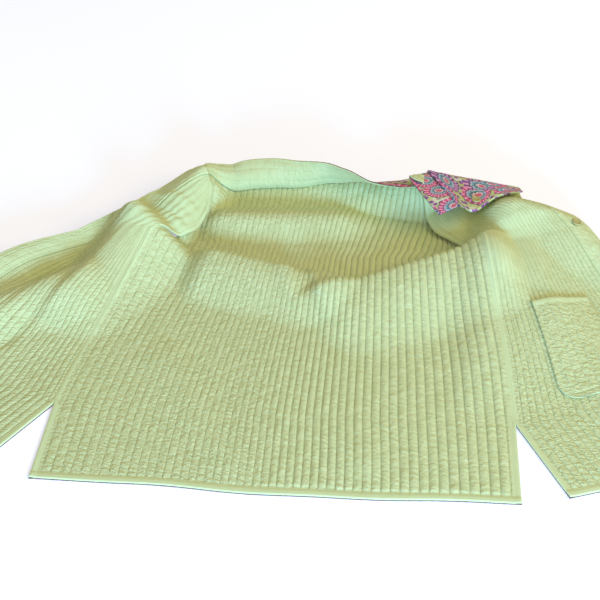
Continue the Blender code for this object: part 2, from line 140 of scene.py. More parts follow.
# Half the length of the thread bar, the spacing of its strands and its height
BUTTON_BAR = (0.0016, 0.00025, 0.00215)
BUTTONHOLE_LONG = 0.0072
BUTTONHOLE_WIDE = 0.0011
BUTTONHOLE_STITCH = 0.0013
BUTTONHOLE_STITCHES = 60

# Stitches
STITCH_PITCH = 0.0032
STITCH_LENGTH = 0.0022
STITCH_WIDTH = 0.00045
STITCH_SUNK = 0.0002

# Print: ringed discs, and florets on the ground between them
DISCS_A_METRE = 21.0
FLORETS_A_METRE = 95.0
DISC_REACHES_A_METRE = 36.0
SCALLOP_DEPTH = 0.0022
SPOKED_RING = (0.43, 0.72)
GROUND_FROM = 0.86
DISC_BANDS = [
    (0.00, (196, 70, 110)),
    (0.10, (228, 214, 222)),
    (0.16, (44, 54, 104)),
    (0.22, (70, 150, 160)),
    (0.31, (196, 184, 214)),
    (0.37, (52, 50, 104)),
    (0.43, (204, 50, 112)),
    (0.62, (168, 34, 84)),
    (0.72, (52, 48, 100)),
    (0.78, (176, 188, 120)),
]

# Studio
FLOOR_REACH = 14.0
FLOOR_LEVEL = -0.0006
FLOOR_COLOUR = (0.80, 0.86, 1.0, 1)
FLOOR_GLOW = (0.80, 0.83, 1.0, 1)
FLOOR_GLOW_STRENGTH = 0.43
SURROUND_COLOUR = (0.57, 0.51, 0.40, 1)
CAMERA_PLACE = (0.103, -1.32195, 1.213)
CAMERA_PITCH = 41.6
CAMERA_YAW = -4.0
CAMERA_LENS = 84
CAMERA_SENSOR = 36

# Point of the layout, in plan, that the part's origin lies under
LAYOUT_CENTRE = np.array([0.0, 0.286915, 0.0])

# Marks of a cloth: painted shade along its stitching, turned edges given a painted highlight, pebbling and
# spread.
Cloth = namedtuple("Cloth", "points uv stitch trim pebble spread")
Lamp = namedtuple("Lamp", "name place size power tint")
Point = namedtuple("Point", "x y")
Fold = namedtuple("Fold", "name x0 y0 z0 x1 y1 z1 left right start end")
CollarOnBack = namedtuple("CollarOnBack", "name neck_share lean roll width")
CollarOnFront = namedtuple("CollarOnFront", "name x y z lean roll width")
CornerSection = namedtuple("CornerSection", "name fold_x fold_y edge_x edge_y edge_z")
SleeveSection = namedtuple("SleeveSection", "name x y half_width thickness")

# Round soft lamps, aimed at the part's origin
LAMPS = [
    Lamp("front", (0.60, -2.26, 0.54), 0.8, 84, (0.32, 0.62, 1.0)),
    Lamp("side", (2.60, -0.93, 2.30), 1.8, 52, (1.0, 0.80, 0.42)),
]

# Edges of the panels in plan, from the hem up. A stretch is a smooth curve through its points.
SIDE_SEAM = {
    "left": [Point(0.2785, 0.120), Point(0.272, 0.220), Point(0.259, 0.320), Point(0.245, 0.412)],
    "right": [Point(-0.2745, 0.118), Point(-0.256, 0.215), Point(-0.228, 0.315), Point(-0.198, 0.405)],
}
UNDERARM = {
    "left": [Point(0.245, 0.412), Point(0.224, 0.441)],
    "right": [Point(-0.198, 0.405), Point(-0.172, 0.424)],
}
BACK_VENT = {
    "left": [Point(0.280, 0.000), Point(0.2785, 0.120)],
    "right": [Point(-0.280, 0.000), Point(-0.2745, 0.118)],
}
BACK_ARMHOLE = {
    "left": [Point(0.224, 0.441), Point(0.209, 0.470), Point(0.193, 0.500), Point(0.174, 0.528)],
    "right": [Point(-0.172, 0.424), Point(-0.160, 0.455), Point(-0.156, 0.490), Point(-0.152, 0.530)],
}
FRONT_VENT = {
    "left": [Point(0.334, 0.013), Point(0.2785, 0.120)],
    "right": [Point(-0.341, 0.018), Point(-0.2745, 0.118)],
}
FRONT_ARMHOLE = {
    "left": [Point(0.224, 0.441), Point(0.202, 0.458), Point(0.183, 0.476), Point(0.165, 0.528)],
    "right": [Point(-0.172, 0.424), Point(-0.148, 0.446), Point(-0.134, 0.478), Point(-0.130, 0.514)],
}
FRONT_EDGE = {
    "left": [
        [Point(0.590, 0.100), Point(0.527, 0.208)],
        [Point(0.527, 0.208), Point(0.480, 0.290), Point(0.434, 0.370), Point(0.388, 0.450)],
        [Point(0.388, 0.450), Point(0.366, 0.476)],
        [Point(0.366, 0.476), Point(0.348, 0.490), Point(0.328, 0.500), Point(0.308, 0.506)],
    ],
    "right": [
        [Point(-0.590, 0.119), Point(-0.507, 0.220)],
        [Point(-0.507, 0.220), Point(-0.443, 0.297), Point(-0.378, 0.366), Point(-0.300, 0.413)],
        [Point(-0.300, 0.413), Point(-0.252, 0.456)],
        [Point(-0.252, 0.456), Point(-0.216, 0.490), Point(-0.182, 0.520), Point(-0.150, 0.545)],
    ],
}
NECK_RISE = 0.032

# Ridges of the cloth above the surface it lies on
FOLDS = [
    Fold("left hill", 0.268, 0.350, 0.020, 0.288, 0.470, 0.042, 0.065, 0.170, 0.240, 0.070),
    Fold("left ridge of back", 0.075, 0.340, 0.020, 0.240, 0.412, 0.038, 0.030, 0.125, 0.090, 0.050),
    Fold("left front edge", 0.300, 0.515, 0.012, 0.420, 0.415, 0.028, 0.080, 0.070, 0.060, 0.260),
    Fold("over left sleeve", 0.330, 0.380, 0.006, 0.440, 0.165, 0.009, 0.110, 0.100, 0.080, 0.100),
    Fold("left neck", 0.050, 0.556, 0.010, 0.165, 0.538, 0.044, 0.060, 0.042, 0.070, 0.040),
    Fold("right hill", -0.218, 0.424, 0.056, -0.284, 0.312, 0.018, 0.100, 0.046, 0.042, 0.080),
    Fold("right front ridge", -0.288, 0.320, 0.017, -0.420, 0.255, 0.021, 0.070, 0.042, 0.050, 0.150),
    Fold("right front edge", -0.150, 0.548, 0.038, -0.400, 0.355, 0.032, 0.066, 0.080, 0.050, 0.240),
    Fold("over right sleeve", -0.330, 0.285, 0.007, -0.450, 0.188, 0.010, 0.110, 0.110, 0.080, 0.100),
    Fold("right roll", -0.172, 0.452, 0.020, -0.140, 0.520, 0.018, 0.048, 0.034, 0.030, 0.030),
    Fold("right crest of back", -0.112, 0.386, 0.025, 0.030, 0.354, 0.018, 0.034, 0.088, 0.044, 0.060),
    Fold("swell of back", -0.105, 0.470, 0.021, 0.040, 0.484, 0.016, 0.046, 0.042, 0.045, 0.070),
    Fold("neck of back", -0.110, 0.560, 0.008, 0.060, 0.560, 0.008, 0.050, 0.026, 0.050, 0.050),
]

# Lesser creases, pressed into those ridges or standing on them
CREASES = [
    Fold("trough of back", 0.010, 0.374, -0.0050, 0.030, 0.300, -0.0020, 0.012, 0.024, 0.020, 0.050),
    Fold("beside the trough", -0.018, 0.366, 0.0030, 0.000, 0.300, 0.0010, 0.016, 0.016, 0.020, 0.040),
    Fold("right flank", -0.286, 0.330, -0.0060, -0.352, 0.218, -0.0030, 0.013, 0.014, 0.030, 0.030),
    Fold("over right flank", -0.300, 0.345, 0.0030, -0.372, 0.240, 0.0030, 0.012, 0.012, 0.030, 0.040),
    Fold("past right flank", -0.330, 0.345, -0.0030, -0.410, 0.240, -0.0020, 0.014, 0.012, 0.030, 0.040),
    Fold("flap", -0.162, 0.449, -0.0030, -0.206, 0.470, -0.0020, 0.008, 0.009, 0.010, 0.030),
    Fold("over flap", -0.150, 0.470, 0.0022, -0.196, 0.486, 0.0015, 0.009, 0.009, 0.010, 0.030),
    Fold("on left hill", 0.300, 0.440, 0.0030, 0.330, 0.330, 0.0020, 0.020, 0.030, 0.030, 0.060),
    Fold("left front", 0.400, 0.350, 0.0025, 0.460, 0.150, 0.0025, 0.022, 0.030, 0.050, 0.080),
    Fold("low right of back", -0.150, 0.200, 0.0020, -0.060, 0.050, 0.0015, 0.040, 0.040, 0.050, 0.050),
    Fold("low left of back", 0.060, 0.240, 0.0000, 0.100, 0.060, 0.0022, 0.035, 0.050, 0.050, 0.050),
]

# Armhole edges of the fronts, lifted and rolled over
ARMHOLE_LIFT = 0.0080
ARMHOLE_ROLL = {"left": 0.018, "right": 0.008}
ARMHOLE_ROLL_SHARE = 0.35
ARMHOLE_ROLL_ROWS = (2.5, 1.2)

# Stand collar: a lean of 0 degrees lies out past the neck, 90 stands up and 180 lies back over the cloth
COLLAR_LENGTH = 0.44
COLLAR_WIDTH = 0.038
COLLAR_LAP = 0.002
COLLAR_LIP = 0.007
COLLAR_ON_BACK = [
    CollarOnBack("right end", 0.04, 12, 0.002, 0.020),
    CollarOnBack("right", 0.17, 46, 0.006, 0.038),
    CollarOnBack("right of back", 0.31, 62, 0.006, 0.040),
    CollarOnBack("back", 0.45, 84, 0.003, 0.040),
    CollarOnBack("left of back", 0.60, 108, 0.000, 0.040),
    CollarOnBack("left", 0.74, 138, 0.000, 0.038),
    CollarOnBack("twist", 0.88, 158, 0.000, 0.036),
]
COLLAR_ON_FRONT = [
    CollarOnFront("fold", 0.168, 0.5425, 0.0560, 168, 0.000, 0.034),
    CollarOnFront("past the fold", 0.180, 0.5234, 0.0570, 173, 0.000, 0.033),
    CollarOnFront("folded", 0.196, 0.4952, 0.0580, 180, 0.000, 0.032),
    CollarOnFront("left end", 0.212, 0.4670, 0.0585, 190, 0.000, 0.030),
]

# Turned corner of the left front
CORNER_FOLD_RADIUS = 0.006
CORNER_TUCK = 0.018
CORNER_LAP = 0.012
CORNER_LENGTH = 0.13
CORNER_REACH = 0.06
CORNER_CUT = 0.07
CORNER_SECTIONS = [
    CornerSection("collar", 0.1725, 0.5410, 0.2127, 0.4670, 0.0605),
    CornerSection("tip", 0.204, 0.531, 0.2330, 0.4550, 0.0610),
    CornerSection("middle", 0.250, 0.519, 0.2640, 0.4880, 0.0620),
    CornerSection("end", 0.296, 0.508, 0.2990, 0.5020, 0.0620),
]

# Sleeves, folded flat under the fronts
SLEEVE_SECTIONS = {
    "left": [
        SleeveSection("armhole", 0.276, 0.466, 0.044, 0.034),
        SleeveSection("elbow", 0.358, 0.312, 0.060, 0.020),
        SleeveSection("cuff", 0.432, 0.158, 0.056, 0.010),
    ],
    "right": [
        SleeveSection("armhole", -0.212, 0.412, 0.036, 0.034),
        SleeveSection("elbow", -0.316, 0.275, 0.040, 0.018),
        SleeveSection("cuff", -0.450, 0.190, 0.052, 0.011),
    ],
}
SLEEVE_STEP = {"left": 0.010, "right": 0.0065}
SLEEVE_RINGS = (101, 51)
SLEEVE_POINTS = 72

# Places on the fronts: shares across, and rows from the hem up
POCKET_SIDES = (0.24, 0.64)
POCKET_ROWS = (1.06, 1.62)
BUTTON_ROWS = (0.80, 1.37, 2.25)
CORNER_BUTTON = (0.235, 0.477)
BUTTONHOLE_ROWS = (0.80, 1.37, 2.25, 3.40)


def smooth_step(x):
    """Rises from 0 to 1 as x does, by 3x^2 - 2x^3, and is level outside."""
    x = np.clip(x, 0, 1)
    return x * x * (3 - 2 * x)


def lattice(i, j, seed):
    """A fixed number from 0 to 1 for each lattice point: what is left of a large sine."""
    number = np.sin(i * 127.1 + j * 311.7 + seed * 74.7) * 43758.5453
    return number - np.floor(number)


def grain(x, y, seed=0.0):
    """Smooth unevenness from -1 to 1: fixed lattice numbers joined by smooth steps."""
    i, j = np.floor(x), np.floor(y)
    fx, fy = smooth_step(x - i), smooth_step(y - j)
    low = lattice(i, j, seed) * (1 - fx) + lattice(i + 1, j, seed) * fx
    high = lattice(i, j + 1, seed) * (1 - fx) + lattice(i + 1, j + 1, seed) * fx
    return 2 * (low * (1 - fy) + high * fy) - 1


def unit(vectors):
    """Vectors brought to length 1."""
    return vectors / np.linalg.norm(vectors, axis=-1, keepdims=True)


def turned_up(vectors):
    """Vectors brought to length 1, each turned round if it points down."""
    return unit(vectors * np.sign(vectors[..., 2:3] + 1e-12))


def curve_at(points, share):
    """Points at a share, 0 to 1, of the smooth cubic curve through evenly spaced points."""
    knots = np.asarray(points, float)
    spans = len(knots) - 1
    slopes = np.gradient(knots, axis=0)
    place_on = np.asarray(share, float) * spans
    span = np.clip(np.floor(place_on).astype(int), 0, spans - 1)
    f = (place_on - span)[..., None]
    a, b = knots[span], knots[span + 1]
    da, db = slopes[span], slopes[span + 1]
    return (
        a * (2 * f**3 - 3 * f**2 + 1)
        + da * (f**3 - 2 * f**2 + f)
        + b * (3 * f**2 - 2 * f**3)
        + db * (f**3 - f**2)
    )


def edge_at(stretches, row):
    """Plan points of a panel's edge: a vent, a side, an underarm and an armhole stretch, a row each."""
    row = np.asarray(row, float)
    found = np.zeros(row.shape + (2,))
    stretch_of = np.clip(np.floor(row).astype(int), 0, len(stretches) - 1)
    for index, stretch in enumerate(stretches):
        found = np.where((stretch_of == index)[..., None], curve_at(stretch, row - index), found)
    return found


def fold_height(fold, x, y):
    """Height of one ridge: (1 - s^2)^2 across it, with its ends tapered the same way."""
    ax, ay = fold.x1 - fold.x0, fold.y1 - fold.y0
    length = np.hypot(ax, ay)
    ax, ay = ax / length, ay / length
    along = (x - fold.x0) * ax + (y - fold.y0) * ay
    across = (y - fold.y0) * ax - (x - fold.x0) * ay
    past = np.where(along < 0, along / fold.start, np.maximum(along - length, 0) / fold.end)
    aside = across / np.where(across > 0, fold.left, fold.right)
    inside = np.clip(1 - past**2 - aside**2, 0, None)
    return (fold.z0 + (fold.z1 - fold.z0) * np.clip(along / length, 0, 1)) * inside**2


def lay_height(x, y):
    """Height of the cloth's underside: all the ridges and creases added up, never under the floor."""
    return np.maximum(sum(fold_height(fold, x, y) for fold in FOLDS + CREASES), 0)


def back_edges(row):
    """Plan points of the back's right and left edges."""
    return tuple(
        edge_at([BACK_VENT[side], SIDE_SEAM[side], UNDERARM[side], BACK_ARMHOLE[side]], row)
        for side in ("right", "left")
    )


def back_width(row):
    """Width of the back in plan."""
    right, left = back_edges(row)
    return np.linalg.norm(left - right, axis=-1)


def bunched(share, row):
    """Share of the back that a channel lies at: drawn together near the middle, more so up the back."""
    low, high = CHANNEL_BUNCH
    amount = low + (high - low) * smooth_step(row / SIDE_TOP)
    turn = 2 * np.pi
    return share - amount * (np.sin(turn * (share - BUNCH_PLACE)) + np.sin(turn * BUNCH_PLACE)) / turn


def beside_armholes(share, row):
    """Share of the back that a channel lies at above the side seams.

    Each channel runs straight on, fanned and leaning, until it nears an armhole. There it bends along
    the edge: with d the way to the edge and w the bend, it keeps (d + sqrt(d^2 + w^2)) / 2 from it."""
    right, left = back_edges(row)
    side_top = np.full(np.shape(row), SIDE_TOP)
    low_right, low_left = back_edges(side_top)
    rise = (right[..., 1] + left[..., 1] - low_right[..., 1] - low_left[..., 1]) / 2

    def clear_of_edge(way):
        """The way to an edge, eased so that it never comes to nought."""
        return (way + np.sqrt(way**2 + ARMHOLE_BEND**2)) / 2

    def straight(at):
        """Share of the back where a channel would lie if it ran straight on."""
        low = low_right[..., 0] + (low_left[..., 0] - low_right[..., 0]) * bunched(at, side_top)
        fanned = FAN_CENTRE + (low - FAN_CENTRE) * (1 + FAN_SPREAD * rise)
        return (fanned + CHANNEL_LEAN * rise - right[..., 0]) / (left[..., 0] - right[..., 0])

    def kept(at):
        """The straight channel bent at both armholes, with a part of the plain spacing."""
        within = 1 - clear_of_edge(1 - clear_of_edge(straight(at)))
        return STRAIGHT_SHARE * within + (1 - STRAIGHT_SHARE) * bunched(at, row)

    first, last = kept(np.zeros(np.shape(share))), kept(np.ones(np.shape(share)))
    return (kept(share) - first) / (last - first)


def hem_bow(x):
    """How far the hem strays from straight: a slack bow, deepest left of the middle, and a slight wave."""
    slack = np.clip(1 - (x / HEM_HALF) ** 2, 0, 1)
    bow = HEM_BOW * np.exp(-(((x - HEM_BOW_PLACE) / HEM_BOW_REACH) ** 2))
    return slack * (HEM_WAVE * np.sin(x / HEM_WAVE_LENGTH) - bow)


def back_surface(share, row):
    """Underside of the back: straight across from edge to edge in plan, bowed up to the neck."""
    right, left = back_edges(row)
    above = smooth_step(row - BEND_FROM)
    bent = beside_armholes(share, np.maximum(row, SIDE_TOP))
    share = bunched(share, row) * (1 - above) + bent * above
    plan = right + (left - right) * share[..., None]
    up_neck = np.clip((row - SIDE_TOP) / (NECK_ROW - SIDE_TOP), 0, None)
    bow = NECK_RISE * up_neck**2 * (1 - (2 * share - 1) ** 2)
    x = plan[..., 0]
    y = plan[..., 1] + bow + hem_bow(x) * np.clip(VENT_TOP - row, 0, 1) ** 2
    return np.stack([x, y, lay_height(x, y)], -1)


def front_edges(side, row):
    """Plan points of a front's inner and outer edges."""
    inner = edge_at([FRONT_VENT[side], SIDE_SEAM[side], UNDERARM[side], FRONT_ARMHOLE[side]], row)
    return inner, edge_at(FRONT_EDGE[side], row)


def front_width(side, row):
    """Width of a front in plan, with its band."""
    inner, outer = front_edges(side, row)
    return np.linalg.norm(outer - inner, axis=-1)


def front_surface(side, share, row):
    """Underside of a front: straight across in plan, its armhole edge lifted and rolled over."""
    inner, outer = front_edges(side, row)
    plan = inner + (outer - inner) * share[..., None]
    x, y = plan[..., 0], plan[..., 1]
    near_edge = np.clip(share / ARMHOLE_ROLL_SHARE, 0, 1)
    fading = 1 - smooth_step((share - ARMHOLE_ROLL_SHARE) / (1 - ARMHOLE_ROLL_SHARE))
    first_row, rows = ARMHOLE_ROLL_ROWS
    rolled = ARMHOLE_ROLL[side] * np.sqrt(1 - (1 - near_edge) ** 2) * smooth_step((row - first_row) / rows)
    lift = (ARMHOLE_LIFT * smooth_step(row - SIDE_TOP) + rolled) * fading
    return np.stack([x, y, lay_height(x, y) + lift], -1)


def outward(surface, share, row, step=1e-4):
    """Unit normals of a surface by central differences, turned up."""
    across = surface(share + step, row) - surface(share - step, row)
    up = surface(share, row + step) - surface(share, row - step)
    return turned_up(np.cross(across, up))


def row_runs(surface):
    """Rows and how far each lies from the hem, measured up the middle of a surface."""
    rows = np.linspace(0, NECK_ROW, ROW_SAMPLES)
    points = surface(np.full(rows.shape, 0.5), rows)
    steps = np.linalg.norm(np.diff(points, axis=0), axis=-1)
    return rows, np.concatenate([[0], np.cumsum(steps)])


def fine_rows(surface, count):
    """Rows at even runs from the hem, with three more drawn close to it, and their runs."""
    rows, runs = row_runs(surface)
    run = np.linspace(0, runs[-1], count - len(NEAR_EDGE))
    run = np.unique(np.concatenate([run, NEAR_EDGE]))
    return np.interp(run, runs, rows), run


def channel_columns(channels, width):
    """Shares of a panel's columns: five to a channel, with three more drawn close to each side edge."""
    shares = ((np.arange(channels)[:, None] + CHANNEL_COLUMNS) / channels).ravel()
    close = NEAR_EDGE / width
    return np.unique(np.concatenate([shares, [1.0], close, 1 - close]))


def channel_pads(share, run, channels, seed, fullness=1.0):
    """Rise of the quilting, and its painted shade, 1 on its lines of stitching: a round pad between each two,
    gathered by puckers.

    The pad is 1 - |2u - 1|^2.2 across a channel. The puckers are unevenness stretched across the channel,
    strongest beside the stitches and nought on them."""
    place_on = np.clip(share * channels, 0, channels - 1e-9)
    number = np.floor(place_on)
    u = place_on - number
    off_middle = np.abs(2 * u - 1)
    beside = smooth_step(np.minimum(u, 1 - u) / 0.16)
    weight = beside * (0.45 + 0.55 * off_middle)
    lift = 1 + 0.22 * grain(run / PAD_LENGTH, number * 1.7, seed)
    slant = (u - 0.5) * 0.9 * np.where(lattice(number, 3.0, seed) > 0.5, 1, -1)
    coarse = grain(run / PUCKER_PITCH + slant + 19.7 * number, number + 0.45 * u, seed + 1)
    fine = grain(run / (0.47 * PUCKER_PITCH) - slant + 7.3 * number, number + 0.6 * u, seed + 2)
    patchy = 0.75 + 0.5 * grain(run / PATCH_LENGTH, number / 5.0, seed + 3)
    puckers = PUCKER_RISE * weight * patchy * (coarse + 0.6 * fine)
    return ((1 - off_middle**2.2) * lift * CHANNEL_RISE + puckers) * fullness, 1 - beside


def pressed_line(distance, at, depth, width=0.0010):
    """A line pressed in by stitching: depth * exp(-((distance - at) / width)^2)."""
    return depth * np.exp(-(((distance - at) / width) ** 2))


def turned_edge(distance, width):
    """A turned and stitched edge: a soft round strip as wide as width, then a pressed stitch line."""
    strip = np.clip(distance / width, 0, 1)
    bulge = TURNED_RISE * np.sqrt(np.clip(1 - strip**4, 0, 1))
    return np.where(distance < width, bulge, 0) - pressed_line(distance, width, TURNED_PRESS)


def rounded_border(distance, radius=BORDER_RADIUS):
    """How far a wall's top falls at its border: a quarter round."""
    inside = np.clip(1 - distance / radius, 0, 1)
    return radius * (1 - np.sqrt(np.clip(1 - inside**2, 0, 1)))


def back_texture(share, row):
    """How full the channels are, and how pebbled: flat and pebbled on the right half, ribbed on the left."""
    ribbed = smooth_step((share - 0.34 - 0.05 * np.clip(row - VENT_TOP, 0, 1)) / 0.30)
    return 0.45 + 0.85 * ribbed, 1.0 - 0.50 * ribbed


def front_texture(share, row):
    """How full the channels are, and how pebbled: pulled smooth over the shoulder by the armhole."""
    pulled = smooth_step((row - 1.5) / 0.5) * (1 - smooth_step((share - 0.35) / 0.5))
    return 0.62 - 0.42 * pulled, 0.85 - 0.35 * pulled


def panel_relief(share, row, run, width, channels, seed, seam_sides, fullness=1.0):
    """Relief of a panel over its underside, its share of painted shade along the stitching, and its trim
    share.

    seam_sides says, for the first and last side edge, whether it is a side seam with a vent below."""
    pads, stitch = channel_pads(share, run, channels, seed, fullness)
    inside = smooth_step((run - HEM_WIDTH - 0.001) / 0.003)
    relief = CLOTH_WALL + turned_edge(run, HEM_WIDTH)
    trim = 1 - smooth_step((run - HEM_WIDTH + 0.001) / 0.002)
    turn = SEAM_STRIP + (VENT_TURN - SEAM_STRIP) * (1 - smooth_step((row - 0.95) / 0.1))
    border = run
    for distance, seam in zip((share * width, (1 - share) * width), seam_sides):
        if seam:
            inside = inside * smooth_step((distance - turn - 0.001) / 0.003)
            relief = relief + turned_edge(distance, turn)
            trim = np.maximum(trim, 1 - smooth_step((distance - turn + 0.001) / 0.002))
            border = np.where(row < VENT_TOP, np.minimum(border, distance), border)
    relief = relief + pads * inside - rounded_border(border)
    return relief, np.clip(stitch * inside, 0, 1), trim


def mesh_of(name, points, faces, materials, smooth=True):
    """A mesh of points in the layout, moved into the part's frame."""
    mesh = bpy.data.meshes.new(name)
    mesh.from_pydata((points.reshape(-1, 3) - LAYOUT_CENTRE).tolist(), [], faces)
    for material in materials:
        mesh.materials.append(material)
    mesh.polygons.foreach_set("use_smooth", np.full(len(mesh.polygons), smooth))
    return mesh


def set_cut(mesh, uv):
    """Gives each face's corners their points' places in the flat cut, in metres."""
    corner_points = np.zeros(len(mesh.loops), np.int32)
    mesh.loops.foreach_get("vertex_index", corner_points)
    layer = mesh.uv_layers.new(name="cut")
    layer.data.foreach_set("uv", uv.reshape(-1, 2)[corner_points].astype(np.float32).ravel())


def place(name, mesh):
    """Links a piece at the origin and lets it ride with the cloth."""
    mesh.update()
    piece = bpy.data.objects.new(name, mesh)
    bpy.context.scene.collection.objects.link(piece)
    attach(piece, "root")
    return piece


def plain_cloth(points, uv):
    """A grid of cloth with no stitch or trim marks, lightly pebbled."""
    none = np.zeros(points.shape[:2])
    return Cloth(points, uv, none, none, none + 0.4, none + 1)


def shell(name, upper, lower, materials, flip=False, rims=(1, 1, 1, 1)):
    """A closed sheet from a fine upper grid and a coarser lower grid, joined round the border.

    The lower grid has every so many of the upper one's rows and columns. rims gives the material of the
    border along the first row, the last row, the first column and the last column."""
    rows, columns = upper.points.shape[:2]
    low_rows, low_columns = lower.points.shape[:2]
    down, over = (rows - 1) // (low_rows - 1), (columns - 1) // (low_columns - 1)
    top = np.arange(rows * columns).reshape(rows, columns)
    low = top.size + np.arange(low_rows * low_columns).reshape(low_rows, low_columns)
    upper_faces = np.stack([top[:-1, :-1], top[:-1, 1:], top[1:, 1:], top[1:, :-1]], -1).reshape(-1, 4)
    lower_faces = np.stack([low[:-1, :-1], low[1:, :-1], low[1:, 1:], low[:-1, 1:]], -1).reshape(-1, 4)

    def strip(fine, coarse, step, turn):
        """Faces of one border: each spans one coarse edge and the fine points over it."""
        spans = np.arange(len(coarse) - 1)
        fine_part = fine[spans[:, None] * step + np.arange(step, -1, -1)[None]]
        face = np.column_stack([coarse[:-1], coarse[1:], fine_part])
        return face[:, ::-1] if turn else face

    groups = [
        upper_faces,
        lower_faces,
        strip(top[0], low[0], over, False),
        strip(top[-1], low[-1], over, True),
        strip(top[:, 0], low[:, 0], down, True),
        strip(top[:, -1], low[:, -1], down, False),
    ]
    kinds = (0, 1, *rims)
    slots = np.concatenate([np.broadcast_to(kind, len(group)) for kind, group in zip(kinds, groups)])
    if flip:
        groups = [group[:, ::-1] for group in groups]
    faces = [face for group in groups for face in group.tolist()]

    def both(field, *size):
        """One field of the upper grid and the lower grid, end to end."""
        return np.concatenate([getattr(cloth, field).reshape(-1, *size) for cloth in (upper, lower)])

    mesh = mesh_of(name, both("points", 3), faces, materials)
    mesh.polygons.foreach_set("material_index", slots.astype(np.int32))
    set_cut(mesh, both("uv", 2))
    for mark in ("stitch", "trim", "pebble", "spread"):
        layer = mesh.attributes.new(mark, "FLOAT", "POINT")
        layer.data.foreach_set("value", both(mark).astype(np.float32))
    return place(name, mesh)


def stitches(name, ends, up, material):
    """Sewing thread: a low pyramid on a lozenge from each first end to each second end."""
    first, last = ends
    aside = unit(np.cross(up, last - first)) * STITCH_WIDTH / 2
    middle = (first + last) / 2
    sunk = up * STITCH_SUNK
    top = middle + up * 0.8 * STITCH_WIDTH
    points = np.stack([first - sunk, middle + aside, last - sunk, middle - aside, top], 1)
    faces = np.array([[0, 1, 4], [1, 2, 4], [2, 3, 4], [3, 0, 4], [0, 3, 1], [1, 3, 2]])
    faces = (np.arange(len(first))[:, None, None] * points.shape[1] + faces[None]).reshape(-1, 3)
    return place(name, mesh_of(name, points, faces.tolist(), [material], smooth=False))


def thread_along(over, share, run):
    """Ends and upward directions of stitches: each reaches half a stitch either way along the run."""
    half, step = STITCH_LENGTH / 2, 0.004
    first, last = over(share, run - half), over(share, run + half)
    aside = over(share + step, run) - over(share - step, run)
    return (first, last), turned_up(np.cross(aside, last - first))


def thread_across(over, share, run, width):
    """As thread_along, for stitches that run across a panel of that width."""
    half, step = STITCH_LENGTH / 2 / width, 0.002
    first, last = over(share - half, run), over(share + half, run)
    onward = over(share, run + step) - over(share, run - step)
    return (first, last), turned_up(np.cross(last - first, onward))


def joined(parts):
    """Several lots of stitches as one: all the first ends, all the last ends and all the directions."""
    ends = tuple(np.concatenate([part[0][k] for part in parts]) for k in (0, 1))
    return ends, np.concatenate([part[1] for part in parts])


class Nodes:
    """Short ways to add and join shader nodes in one material."""

    def __init__(self, name):
        self.material = bpy.data.materials.new(name)
        self.material.use_nodes = True
        self.tree = self.material.node_tree
        self.shader = self.tree.nodes["Principled BSDF"]

    def add(self, kind, settings=(), **inputs):
        """A node with its settings, and its inputs fed by name."""
        node = self.tree.nodes.new("ShaderNode" + kind)
        for key, value in dict(settings).items():
            setattr(node, key, value)
        for key, value in inputs.items():
            self.feed(node.inputs[key.replace("_", " ")], value)
        return node

    def feed(self, socket, value):
        """Links a socket's value, or sets a plain one."""
        if isinstance(value, bpy.types.NodeSocket):
            self.tree.links.new(value, socket)
        else:
            socket.default_value = value

    def math(self, operation, *values):
        """One operation on up to three values."""
        node = self.add("Math", {"operation": operation})
        for socket, value in zip(node.inputs, values):
            self.feed(socket, value)
        return node.outputs[0]

    def vectors(self, operation, first, second):
        """One operation on two vectors."""
        node = self.add("VectorMath", {"operation": operation})
        self.feed(node.inputs[0], first)
        self.feed(node.inputs[1], second)
        return node.outputs[0]

    def mix(self, share, a, b):
        """Colour a turning to b as the share goes from 0 to 1."""
        node = self.add("Mix", {"data_type": "RGBA"})
        for index, value in ((0, share), (6, a), (7, b)):
            self.feed(node.inputs[index], value)
        return node.outputs[2]

    def noise(self, vector, scale, detail):
        """Smooth noise from 0 to 1."""
        return self.add("TexNoise", Vector=vector, Scale=scale, Detail=detail).outputs["Fac"]

    def between(self, value, low, high):
        """A smooth step from 0 at the low value to 1 at the high one."""
        settings = {"clamp": True, "interpolation_type": "SMOOTHSTEP"}
        node = self.add("MapRange", settings, Value=value, From_Min=low, From_Max=high)
        return node.outputs["Result"]

    def cut(self):
        """A point's place in the flat cut, in metres."""
        return self.add("UVMap", {"uv_map": "cut"}).outputs["UV"]

    def solid_place(self):
        """A point's place in the part's frame."""
        return self.add("TexCoord").outputs["Object"]

    def mark(self, name):
        """One of the marks that a shell gives its points."""
        return self.add("Attribute", {"attribute_name": name}).outputs["Fac"]

    def bump(self, height, strength, distance):
        """Fine relief under the geometry's own."""
        node = self.add("Bump", Height=height, Strength=strength, Distance=distance)
        self.feed(self.shader.inputs["Normal"], node.outputs["Normal"])

    def finish(self, base, **constants):
        """Sets the base colour and the shader's constants, and gives the material."""
        self.feed(self.shader.inputs["Base Color"], base)
        for key, value in constants.items():
            self.shader.inputs[key.replace("_", " ")].default_value = value
        return self.material


def colour(red, green, blue):
    """Linear colour of an sRGB one given from 0 to 255."""
    value = np.array([red, green, blue]) / 255
    linear = np.where(value <= 0.04045, value / 12.92, ((value + 0.055) / 1.055) ** 2.4)
    return (*linear.tolist(), 1.0)


def cotton_weave(nodes, uv):
    """Plain weave: close warp and weft waves over loose crumpling."""
    across, along = (
        nodes.add("TexWave", {"bands_direction": way}, Vector=uv, Scale=320.0, Distortion=1.0).outputs["Fac"]
        for way in ("X", "Y")
    )
    threads = nodes.math("MULTIPLY", nodes.math("ADD", across, along), 0.18)
    return nodes.math("ADD", threads, nodes.noise(uv, 260.0, 3.0))


def channel_place(nodes, uv):
    """A point's place across the cloth, counted in channels, and its run along them."""
    parts = nodes.add("SeparateXYZ", Vector=uv)
    return nodes.math("DIVIDE", parts.outputs["X"], CHANNEL_WIDTH), parts.outputs["Y"]


